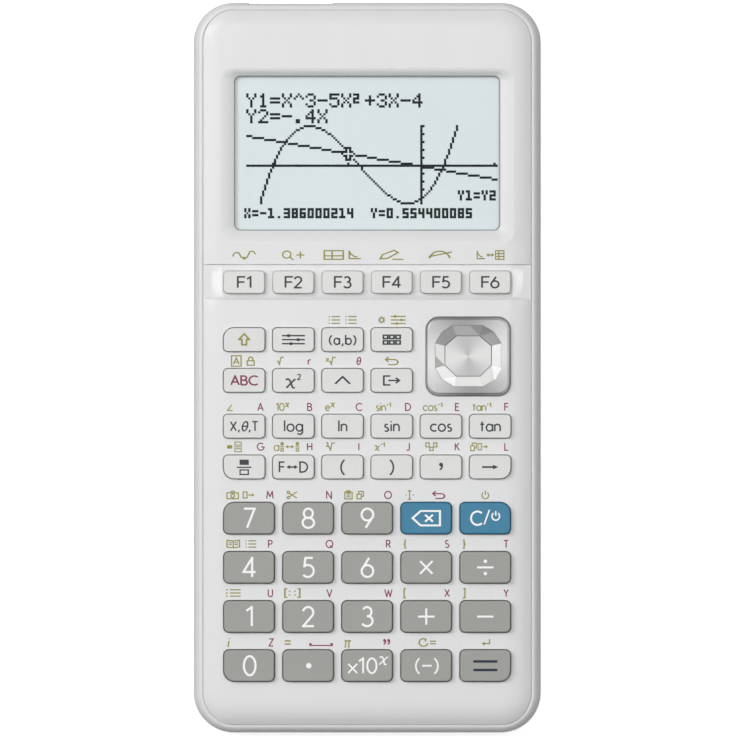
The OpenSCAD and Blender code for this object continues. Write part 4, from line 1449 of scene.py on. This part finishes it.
# ---------------------------------------------------------------- legends on the keys
# Labels: glyphs, x and y from the key's centre, height, stroke, gap, squeeze, slant
KEY_LEGENDS = {
    **{f"f{i}": [(f"Fw {i}", 0.05, 0, 3.0, 0.40, 0.14, 1.15)] for i in range(1, 7)},
    "shift": [("up", 0, 0.05, 2.9, 0.40)],
    "options": [("sliders", 0, 0, 2.5, 0.36, 0.17, 1.35)],
    "variables": [("( a , b )", 0, -0.05, 2.6, 0.37, 0.26)],
    "menu": [("grid", 0, 0, 2.5, 0.36, 0.17, 1.25)],
    "alpha": [("A B C", 0, 0, 2.5, 0.37, 0.24, 1.2)],
    "square": [("x", -0.55, -0.10, 3.75, 0.40, 0.17, 1.08), ("2", 1.35, 0.85, 1.5, 0.26)],
    "power": [("caret", 0, -0.1, 3.2, 0.36, 0.17, 1.45)],
    "exit": [("exit", 0, 0, 2.5, 0.37, 0.17, 1.2)],
    "x_theta": [("X ,", -2.2, 0, 2.55, 0.36, 0.22),
                ("theta", -0.05, 0, 2.55, 0.34, 0.17, 1.1, 0.20),
                (", T", 2.2, 0, 2.55, 0.36, 0.22)],
    **{word: [(" ".join(word), 0, 0.05, 2.85, 0.37, 0.21, 1.03)]
       for word in ("log", "ln", "sin", "cos", "tan")},
    "fraction": [("fraction", 0, 0, 3.5, 0.32)],
    "convert": [("F both D", 0, 0, 2.75, 0.37, 0.20, 1.06)],
    "open_bracket": [("(", 0, 0.05, 3.9, 0.42)],
    "close_bracket": [(")", 0, 0.05, 3.9, 0.42)],
    "comma": [("comma", 0, 0.15, 4.0, 0.40)],
    "store": [("arrow", 0, 0, 3.0, 0.44, 0.17, 1.28)],
    **{digit: [(digit, 0.15 if digit == "0" else 0.05, 0, 5.1, 0.52)]
       for digit in "0123456789"},
    "delete": [("erase", 0, 0, 3.9, 0.44, 0.17, 1.12)],
    "on_clear": [("C", -2.2, 0, 3.7, 0.46), ("/", 0.35, 0.25, 3.4, 0.36),
                 ("power", 2.5, 0.55, 2.4, 0.34)],
    "multiply": [("times", 0, 0, 5.3, 0.48)],
    "divide": [("divide", 0, 0, 5.4, 0.48)],
    "plus": [("+", 0, 0, 5.4, 0.48)],
    "minus": [("minus", 0, 0, 5.4, 0.48)],
    "point": [("bigdot", 0.15, 0, 3.8, 0.5)],
    "exponent": [("times", -3.5, -0.65, 3.9, 0.40), ("1 0", 0.08, 0, 4.0, 0.44, 0.24, 1.02),
                 ("x", 3.85, 1.75, 3.3, 0.32, 0.17, 1.05, 0.12)],
    "negative": [("(", -2.1, 0.05, 3.95, 0.40), ("minus", 0.15, 0, 3.3, 0.42),
                 (")", 2.4, 0.05, 3.95, 0.40)],
    "enter": [("=", 0, 0, 7.0, 0.60, 0.17, 1.45)],
}
SPECIAL_INKS = {"shift": (INK_OCHRE, "ink_yellow"), "alpha": (INK_MAGENTA, "ink_magenta"),
                "enter": (INK_NAVY, "ink_dark")}


def make_key_legend(name, labels):
    node = "key_" + name
    center_x, center_y, _, _ = plan_box(node, KEY_FLANGE)
    top = top_of(node) - 0.006
    lettering = Lettering()
    for text, off_x, off_y, *style in labels:
        lettering.label(text, center_x + off_x, center_y + off_y, lambda x, y: top, *style)
    usual = (INK_WHITE, "ink_white") if node in LARGE else (INK_DARK, "ink_dark")
    material, slot = SPECIAL_INKS.get(name, usual)
    lettering.finish("legend_" + name, material, node, slot)


for key_name, key_labels in KEY_LEGENDS.items():
    make_key_legend(key_name, key_labels)


# ---------------------------------------------------------------- legends on the face
SIX = [(column - 2.5) * 11.81 for column in range(6)]
FIVE = [(column - 2) * 14.175 for column in range(5)]
INVERSE = "-^.5,.62 1^.5,.50"


def letters(text, off_x):
    return [(letter, column, off_x) for column, letter in enumerate(text)]


# Rows: y, column positions, labels. Labels: glyphs, column, x from the column, then
# height, stroke, gap, squeeze and slant where they aren't the ink's usual ones.
OCHRE_ROWS = [
    (27.03, SIX, [
        ("trace", 0, 0, 2.35, 0.29, 0.2, 1.15), ("zoom +", 1, 0, 2.35, 0.29, 0.24, 1.2),
        ("window axes", 2, 0, 2.35, 0.29, 0.3, 1.3), ("sketch", 3, 0, 2.35, 0.29, 0.2, 1.5),
        ("solve", 4, 0, 2.35, 0.29, 0.2, 1.5),
        ("axes both table", 5, 0, 2.35, 0.29, 0.16, 0.85)]),
    (11.43, SIX, [
        ("list sp list", 2, 0, 2.2, 0.29, 0.17, 1.1), ("gear sp sliders", 3, 0, 2.2, 0.29)]),
    (1.58, SIX, [
        ("boxa sp lock", 0, -0.3, 2.3, 0.28, 0.17, 1.15), ("root", 1, -3.1),
        ("x^.62,.45 root", 2, -2.8, 2.05, 0.28, 0.0), ("back", 3, 0, 2.2, 0.29, 0.17, 1.3)]),
    (-9.46, SIX, [
        ("angle", 0, -3.4), ("1 0 x^.82,.52", 1, -2.6),
        ("e x^.82,.52", 2, -3.0, 2.05, 0.28, 0.15),
        *((f"{word} {INVERSE}", column, -2.0, 2.05, 0.28, 0.15)
          for column, word in ((3, "s i n"), (4, "c o s"), (5, "t a n")))]),
    (-19.00, SIX, [
        ("whole openfrac", 0, -2.3, 2.25, 0.24, 0.2),
        ("a smallfrac both smallfrac", 1, -1.6, 2.2, 0.25, 0.14),
        ("3^.5,.55 root", 2, -2.9, 2.05, 0.28, 0.0),
        (f"x {INVERSE}", 3, -2.9, 2.05, 0.28, 0.12), ("steps", 4, -2.3, 2.15, 0.27),
        ("stack convert", 5, -2.6, 2.15, 0.27, 0.17, 0.85)]),
    (-30.59, FIVE, [
        ("camera sp convert", 0, -2.0, 2.1, 0.28), ("scissors", 1, -3.9, 2.1, 0.28),
        ("clipboard sp stack", 2, -3.1, 2.1, 0.28), ("insert", 3, -4.0, 2.1, 0.28),
        ("power", 4, 0, 2.1, 0.28)]),
    (-42.35, FIVE, [
        ("book sp list", 0, -1.9, 2.1, 0.28, 0.17, 1.1),
        ("{", 3, -5.1, 2.1, 0.33), ("}", 4, -5.1, 2.1, 0.33)]),
    (-54.12, FIVE, [
        ("list", 0, -3.8, 2.1, 0.28, 0.17, 1.5), ("matrix", 1, -3.8, 2.1, 0.28, 0.17, 1.4),
        ("[", 3, -5.1, 2.1, 0.33), ("]", 4, -5.1, 2.1, 0.33)]),
    (-66.0, FIVE, [
        ("i", 0, -5.1, 2.5, 0.34, 0.17, 1.0, 0.2), ("=", 1, -4.9, 2.7, 0.34),
        ("pi", 2, -4.8, 2.8, 0.32, 0.17, 1.0, 0.08),
        ("recall =", 3, 0.2, 2.2, 0.30, 0.17, 1.2), ("return", 4, 0.1, 2.1, 0.29)]),
]
MAGENTA_ROWS = [
    (1.58, SIX, [("r", 1, 3.8), ("theta", 2, 3.8, 2.0, 0.29, 0.17, 1.0, 0.12)]),
    (-9.46, SIX, letters("ABCDEF", 3.9)),
    (-19.00, SIX, letters("GHIJKL", 3.9)),
    (-30.59, FIVE, letters("MNO", 5.0) + [("back", 3, 3.0, 2.1, 0.29, 0.17, 1.3)]),
    (-42.35, FIVE, letters("PQR", 5.1) + [("S", 3, 5.0), ("T", 4, 5.0)]),
    (-54.12, FIVE, letters("UVW", 5.1) + [("X", 3, 5.0), ("Y", 4, 5.0)]),
    (-66.0, FIVE, [("Z", 0, 5.3), ("space", 1, 3.1, 1.9, 0.28, 0.17, 2.1)]),
    (-66.65, FIVE, [("quote", 2, 4.65, 3.2, 0.36)]),
]


def make_face_legends(name, material, slot, rows, usual):
    lettering = Lettering()
    for y, columns, labels in rows:
        for text, column, off_x, *style in labels:
            lettering.label(text, columns[column] + off_x, y, face_height, *(style or usual))
    lettering.finish(name, material, "body", slot)


# The last argument is the usual height and stroke
make_face_legends("legends_ochre", INK_OCHRE, "ink_yellow", OCHRE_ROWS, (2.05, 0.28))
make_face_legends("legends_magenta", INK_MAGENTA, "ink_magenta", MAGENTA_ROWS, (2.0, 0.29))


# ---------------------------------------------------------------- display picture
# Dot characters, row by row from the top. "s" is a raised 2.
FONT_5X7 = {
    "Y": "10001 10001 01010 00100 00100 00100 00100",
    "X": "10001 10001 01010 00100 01010 10001 10001",
    "1": "00100 01100 00100 00100 00100 00100 01110",
    "2": "01110 10001 00001 00010 00100 01000 11111",
    "3": "01110 10001 00001 00110 00001 10001 01110",
    "4": "00010 00110 01010 10010 11111 00010 00010",
    "5": "11111 10000 11110 00001 00001 10001 01110",
    "=": "00000 00000 11111 00000 11111 00000 00000",
    "-": "00000 00000 00000 11111 00000 00000 00000",
    "+": "00000 00100 00100 11111 00100 00100 00000",
    "^": "00100 01010 10001 00000 00000 00000 00000",
    ".": "00000 00000 00000 00000 00000 01100 01100",
    "s": "11100 00100 11100 10000 11100 00000 00000",
}
FONT_3X5 = {
    "0": "111 101 101 101 111", "1": "110 010 010 010 111", "2": "111 001 111 100 111",
    "3": "111 001 111 001 111", "4": "101 101 111 001 001", "5": "111 100 111 001 111",
    "6": "111 100 111 101 111", "8": "111 101 111 101 111", "X": "101 101 010 101 101",
    "Y": "101 101 010 010 010", "=": "000 111 000 111 000", "-": "000 000 111 000 000",
    ".": "000 000 000 000 010",
}
CURSOR = "01010 11011 00000 11011 01010"


def dot_rows(text):
    return np.array([[dot == "1" for dot in row] for row in text.split()])


def draw_screen():
    """Lit dots by row from the top and column from the left: formulas, graph and readout."""
    lit = np.zeros((LCD_ROWS, LCD_COLUMNS), bool)

    def write(text, font, row, column, pitch):
        for k, character in enumerate(text):
            dots = dot_rows(font[character])
            left = column + k * pitch
            lit[row:row + dots.shape[0], left:left + dots.shape[1]] |= dots

    def line(column0, row0, column1, row1):
        count = int(max(abs(column1 - column0), abs(row1 - row0))) + 1
        for k in range(count + 1):
            column = round(column0 + (column1 - column0) * k / count)
            row = round(row0 + (row1 - row0) * k / count)
            if 0 <= row < LCD_ROWS and 0 <= column < LCD_COLUMNS:
                lit[row, column] = True

    write("Y1=X^3-5Xs+3X-4", FONT_5X7, 1, 1, 6)
    write("Y2=-.4X", FONT_5X7, 9, 1, 6)
    # Axes and their ticks
    line(1, 37, 127, 37)
    lit[36, [15, 52, 126]] = True
    line(89, 17, 89, 56)
    lit[17:57:4, 90] = True
    # The cubic, with steep steps shared between neighbouring columns
    previous = None
    for column in range(6, 109):
        across = column - 57.4
        row = round(36.5 - 0.000632 * (across ** 3 - 3 * 24.9 ** 2 * across))
        if previous is not None:
            climb = abs(row - previous)
            direction = 1 if row > previous else -1
            for k in range(climb + 1):
                step = previous + direction * k
                if 17 <= step <= 56:
                    lit[step, column - 1 if 2 * k <= climb else column] = True
        previous = row
    line(1.4, 22, 127.0, 44)
    # Cursor on the crossing
    lit[29:34, 50:55] = dot_rows(CURSOR)
    lit[31, [49, 55]] = True
    lit[[28, 34], 51:54] = True
    write("Y1=Y2", FONT_3X5, 50, 108, 4)
    write("X=-1.386000214", FONT_3X5, 59, 0, 4)
    write("Y=0.554400085", FONT_3X5, 59, 64, 4)
    return lit


def dot_material():
    mat = Material("liquid_crystal_dot")
    mottle = mat.noise(scale=900.0)
    mat.set(Base_Color=mat.mix(mottle, (0.006, 0.009, 0.013), (0.012, 0.016, 0.021)),
            Specular_IOR_Level=0.05)
    mat.roughness(mottle, 0.45, 0.6)
    return mat


def make_dots():
    """Lit dots as thin joined slabs, grown a little past their cells."""
    screen = draw_screen()
    build = Builder()
    low_z, high_z = 15.2, 15.235
    growth = 0.05
    corners = {}

    def is_lit(row, column):
        return (0 <= row < LCD_ROWS and 0 <= column < LCD_COLUMNS
                and bool(screen[row, column]))

    def corner(i, j, cell):
        """Lattice corner of a lit cell, shared unless two cells touch only there."""
        around = [(i - 1, j - 1), (i - 1, j), (i, j - 1), (i, j)]
        lit = [place_ for place_ in around if is_lit(*place_)]
        apart = len(lit) == 2 and lit[0][0] != lit[1][0] and lit[0][1] != lit[1][1]
        key_ = (i, j, cell if apart else None)
        if key_ not in corners:
            x, y = LCD_LEFT + j * LCD_PITCH, LCD_TOP - i * LCD_PITCH
            if not apart and len(lit) < 4:
                up_left, up_right, low_left, low_right = (is_lit(*spot) for spot in around)
                left, right = up_left + low_left, up_right + low_right
                up, down = up_left + up_right, low_left + low_right
                x += growth * ((left > right) - (right > left))
                y -= growth * ((up > down) - (down > up))
            corners[key_] = build.add([(x, y, low_z), (x, y, high_z)])
        return corners[key_]

    for row, column in zip(*(axis.tolist() for axis in np.nonzero(screen))):
        quad = [corner(row + down, column + right, (row, column))
                for down, right in ((1, 0), (1, 1), (0, 1), (0, 0))]
        build.face([high for _, high in quad])
        build.face([low for low, _ in quad][::-1])
        for k, (down, right) in enumerate(((1, 0), (0, 1), (-1, 0), (0, -1))):
            if not is_lit(row + down, column + right):
                start, end = quad[k], quad[(k + 1) % 4]
                build.face([start[0], end[0], end[1], start[1]])
    obj = build.make("display_dots", [dot_material()])
    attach(obj, "body")


make_dots()


def make_painted_window_shade():
    """Thin dark ring painted round the edge of the window: painted shade standing in for the
    shadow in the gap between the surround's lip and the window.
    """
    build = Builder()
    outer, inner = (rounded_rect(VIEW_WIDTH, VIEW_DEPTH, VIEW_RADIUS, inset, (0, VIEW_Y), 12)
                    for inset in (0.02, 0.20))
    low_outer, low_inner, high_outer, high_inner = (
        build.add(at_z(ring, z)) for z in (16.190, 16.206) for ring in (outer, inner))
    build.bridge(high_outer, high_inner)
    build.bridge(low_inner, low_outer)
    build.bridge(low_outer, high_outer)
    build.bridge(high_inner, low_inner)
    # Painted shade: a dark ring standing in for the shadow in the gap round the window
    obj = build.make("window_edge_painted_shade", [ink("painted_gap_shade_grey", (0.15, 0.155, 0.16))])
    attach(obj, "body")


make_painted_window_shade()


# ---------------------------------------------------------------- finishes of the CAD nodes
FINISHES = {
    "rear_casing": BACK_PLASTIC,
    "battery_cover": BACK_PLASTIC,
    "display_window": window_material(),
    "lcd_module": lcd_material(),
    "circuit_board": board_material(),
    "dome_sheet": rubber_material(),
    "batteries": cell_material(),
    "battery_contacts": NICKEL,
    "casing_screws": screw_material(),
    "connector_sockets": socket_material(),
    "reset_button": DARK_PLASTIC,
    "cursor_pivot": STEEL,
}
for node_name, node_material in FINISHES.items():
    slots = NODES[node_name].data.materials
    slots.clear()
    slots.append(node_material.data)


# ---------------------------------------------------------------- floor, lights, world, camera
def floor_material():
    mat = Material("studio_floor")
    clouds = mat.noise(scale=3.0)
    x, y, _ = mat.xyz()
    # To the camera the floor glows, so it stays pale far out and its shadows stay light
    glow = mat.remap(mat.length(x, y), span=(0.15, 1.6), to=(0.74, 0.95))
    mat.set(Base_Color=mat.mix(clouds, (0.605, 0.605, 0.605), (0.615, 0.615, 0.615)),
            Roughness=0.9, Specular_IOR_Level=0.1, Emission_Color=(1, 1, 1),
            Emission_Strength=mat.camera_ray() * glow)
    return mat


def make_floor():
    build = Builder()
    half = 3000
    corners = ((-half, -half, 0), (half, -half, 0), (half, half, 0), (-half, half, 0))
    build.face(build.add(corners))
    build.make("studio_floor", [floor_material()])


def add_light(name, location, size, power, along_y=False):
    """Area light aimed at the origin, or a strip kept parallel to Y."""
    light = bpy.data.lights.new(name, "AREA")
    light.shape = "RECTANGLE"
    light.size, light.size_y = size
    light.energy = power
    obj = place(name, light)
    obj.location = location
    if along_y:
        obj.rotation_euler = (0.0, math.atan2(location[0], location[2]), 0.0)
    else:
        obj.rotation_euler = (-Vector(location)).to_track_quat("-Z", "Y").to_euler()
    obj.visible_camera = False


def make_world():
    """Grey surroundings, brighter toward +Y and overhead; nearly white to the camera."""
    world = bpy.data.worlds.new("studio")
    bpy.context.scene.world = world
    sky = Nodes(world)
    _, y, z = sky.xyz("Generated")
    toward_top_end = sky.remap(y, span=(-0.6, 0.5), to=(0.05, 0.37), smooth=True)
    overhead = sky.remap(z, span=(0.0, 0.9), to=(0.45, 1.25))
    seen_strength = 0.93
    blend = sky.node("ShaderNodeMix")
    for index, value in ((0, sky.camera_ray()), (2, toward_top_end * overhead),
                         (3, seen_strength)):
        sky.put(blend.inputs[index], value)
    background = sky.node("ShaderNodeBackground")
    sky.fill(background, Color=(1, 1, 1), Strength=blend.outputs[0])
    output = sky.node("ShaderNodeOutputWorld")
    sky.fill(output, Surface=background.outputs[0])


def make_camera():
    """Long lens straight above the face."""
    view_width = 0.1767     # metres across the picture, at face height
    camera = bpy.data.cameras.new("camera")
    camera.sensor_width = 36.0
    camera.sensor_fit = "HORIZONTAL"
    camera.lens = 815.0
    camera.clip_start, camera.clip_end = 0.05, 20.0
    obj = place("camera", camera)
    distance = view_width / 36.0 * 815.0
    obj.location = (0.00019, -0.0001, FACE_Z * MM + distance)
    obj.rotation_euler = (0.0, 0.0, 0.0)
    bpy.context.scene.camera = obj


make_floor()
add_light("top_panel", location=(-0.05, 0.17, 1.58), size=(0.6, 0.6), power=5.65)
add_light("key_softbox", location=(-0.89, 0.38, 1.00), size=(0.58, 0.58), power=8.8)
add_light("left_strip", location=(-0.53, 0.10, 1.18), size=(0.085, 1.2), power=2.5,
          along_y=True)
add_light("right_strip", location=(0.53, 0.10, 1.18), size=(0.085, 1.2), power=3.1,
          along_y=True)
make_world()
make_camera()
bpy.context.scene.view_settings.view_transform = "Standard"
bpy.context.scene.cycles.use_denoising = True
